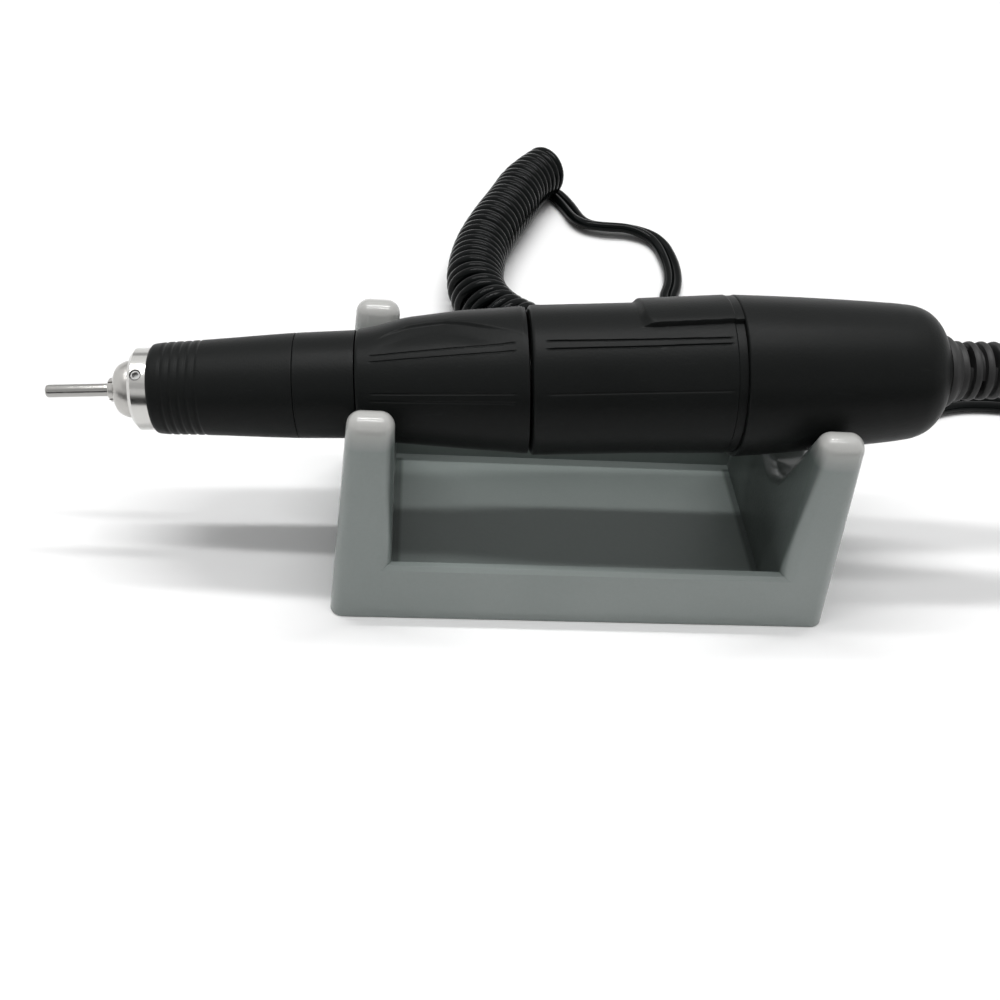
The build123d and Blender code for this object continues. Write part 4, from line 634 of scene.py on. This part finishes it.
# ---- Nose, collet and pin ----
# Steel at the front: a polished ring with three dull grub screws with hexagon sockets, a domed cone screwed
# into the barrel, the face of the collet and a plain pin 2.35 mm thick in it.
polished = metal("polished_steel", (0.62, 0.615, 0.595), 0.16, 6000.0)
drawn = metal("drawn_steel", (0.50, 0.49, 0.47), 0.27, 9000.0)
worn = metal("worn_steel", (0.40, 0.395, 0.38), 0.2, 9000.0)
fine_angles = np.radians(np.arange(-180, 180, 2.5))


def turned_bar(name, outline, material):
    """A solid turned piece from its outline, whose ends lie on the axis."""
    outline = np.array(outline, float)
    rings = np.repeat(outline[:, 1][:, None], len(fine_angles), axis=1)
    return surface(name, in_hand(outline[:, 0][:, None], fine_angles[None, :], rings), material)


ring = rounded_copy("steel_ring", "nose_ring", polished, 0.0, 25)
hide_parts("nose_ring")
dulled = metal("dulled_steel", (0.36, 0.36, 0.355), 0.36, 4000.0)
SCREW_AT, SCREW_SEAT, SCREW_TOP, SCREW_R = -82.8, 5.95, 7.35, 0.92
CHAMFER, CHAMFER_DEPTH, SOCKET_HALF, SOCKET_DEPTH = 0.12, 0.13, 0.56, 0.7


def socket_screw(a):
    """A grub screw in the ring at angle a from the pad: a chamfered post with a hexagonal socket, whose wall
    at angle q from the middle of a flat lies SOCKET_HALF over cos q off the screw's middle."""
    middle = in_hand(SCREW_AT, a, 0.0)
    out = in_hand(SCREW_AT, a, 1.0) - middle
    forward = in_hand(SCREW_AT + 1, a, 0.0) - middle
    beside = np.cross(forward, out) * 1000
    q = np.radians(np.arange(0, 360, 7.5))
    point = np.zeros_like(q)
    hexagon = SOCKET_HALF / np.cos((q + np.pi / 6) % (np.pi / 3) - np.pi / 6)
    shoulder, bottom = SCREW_TOP - CHAMFER_DEPTH, SCREW_TOP - SOCKET_DEPTH
    height = np.array([SCREW_SEAT, SCREW_SEAT, shoulder, SCREW_TOP, SCREW_TOP, bottom, bottom])
    wall = point + SCREW_R
    reach = np.array([point, wall, wall, wall - CHAMFER, hexagon, hexagon, point])
    return surface("socket_screw", middle + height[:, None, None] * out + reach[:, :, None] * (
        np.cos(q)[None, :, None] * forward + np.sin(q)[None, :, None] * beside), dulled)


three = bmesh.new()
for angle in np.radians([-63, 57, 177]):
    screw = socket_screw(angle)
    three.from_mesh(screw.data)
    bpy.data.objects.remove(screw)
mesh = bpy.data.meshes.new("steel_screws")
three.to_mesh(mesh)
three.free()
mesh.materials.append(dulled)
screws = bpy.data.objects.new("steel_screws", mesh)
bpy.context.scene.collection.objects.link(screws)
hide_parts("grub_screws")
CONE_FRONT, CONE_REAR = -88.2, -84.55
s, r = flowing([(-88.0, 3.6), (-87.6, 4.3), (-86.8, 4.85), (-85.8, 5.2), (CONE_REAR, 5.3)], 24)
s, r = np.concatenate([[CONE_FRONT, -88.16], s]), np.concatenate([[2.95, 3.2], r])
cone = casing("steel_cone", s, r, [(CONE_REAR, 3.6), (-86.4, 3.6), (-86.4, 2.4), (CONE_FRONT, 2.4)], drawn,
              fine_angles)
jaws = rounded_copy("steel_jaws", "collet", drawn, 0.0, 25)
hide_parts("collet")
PIN_FRONT, PIN_REAR, PIN_R = -100.9, -56.4, 1.175
pin = turned_bar("steel_pin", [(PIN_FRONT, 0), (PIN_FRONT, 0.75), (-100.86, 0.93), (-100.78, 1.05),
                               (-100.62, 1.14), (-100.4, PIN_R), (-90, PIN_R), (-70, PIN_R), (-56.7, PIN_R),
                               (-56.45, 0.95), (PIN_REAR, 0)], worn)
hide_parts("test_pin")
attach(ring, "handpiece")
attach(screws, "handpiece")
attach(cone, "handpiece")
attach(jaws, "collet")
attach(pin, "test_pin")
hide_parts("nose_cone")

# ---- Working parts inside the casing ----
# Ground steel on the barrel, spindle, bearings, springs and release, brass on the push sleeve, nylon on the
# couplings and the brush holder. The release spring lies between the spindle and the release ring.
ground = metal("ground_steel", (0.60, 0.60, 0.60), 0.24, 5000.0)
spring = rounded_copy("release_spring", "draw_spring", ground, 0.0, 60)
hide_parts("draw_spring")
reach = [v.co.x * np.cos(TILT) + v.co.z * np.sin(TILT) for v in spring.data.vertices]
first, last = [1000 * end - AXIS_HEIGHT * np.sin(TILT) for end in (min(reach), max(reach))]
tuple(in_hand(first, 0.0, 0.0))
tuple(in_hand(last, 0.0, 0.0))
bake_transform(spring)
dress(ground, "draw_bar", "draw_pin", "release_ring", "spindle", "spring_stop",
      "spindle_bearing_outers", "spindle_bearing_inners", "bearing_spacer", "front_retainer", "rear_retainer",
      "barrel", "flange_screws", "cam_pins", "cam_sleeve", "rotor_shaft", "motor_bearing_outers",
      "motor_bearing_inners", "cord_ferrule", "brush_springs")
dress(brass, "push_sleeve", "terminals")
dress(nylon, "spindle_dog", "motor_dog", "brush_holder")
dress(moulded_rubber, "cord_end")

# ---- Motor ----
# A zinc-plated can with two ferrite magnets, a laminated rotor with copper windings, a copper commutator,
# carbon brushes and red leads.
zinc = metal("zinc_plate", (0.55, 0.56, 0.55), 0.34, 1500.0)
copper = metal("copper", (0.80, 0.42, 0.28), 0.32, 2800.0)


def matt(name, low, high, roughness, scale):
    """A dull material whose grain goes between two colours."""
    made, shader, place = finish(name, Specular_IOR_Level=0.35)
    grain = place.noise(scale, 3.0)
    feed(shader, "Base Color", grain.shades(low, high))
    feed(shader, "Roughness", grain * 0.2 + (roughness - 0.1))
    feed(shader, "Normal", bump(grain, 0.4, 0.00005))
    return made


dress(zinc, "motor_can", "rotor_core")
dress(copper, "rotor_windings", "commutator")
dress(matt("ferrite", (0.03, 0.03, 0.032), (0.06, 0.058, 0.056), 0.7, 900.0), "field_magnets")
dress(matt("carbon", (0.012, 0.012, 0.013), (0.03, 0.03, 0.03), 0.6, 1500.0), "carbon_brushes")
dress(matt("red_pvc", (0.35, 0.02, 0.015), (0.5, 0.04, 0.03), 0.4, 500.0), "lead_wires")
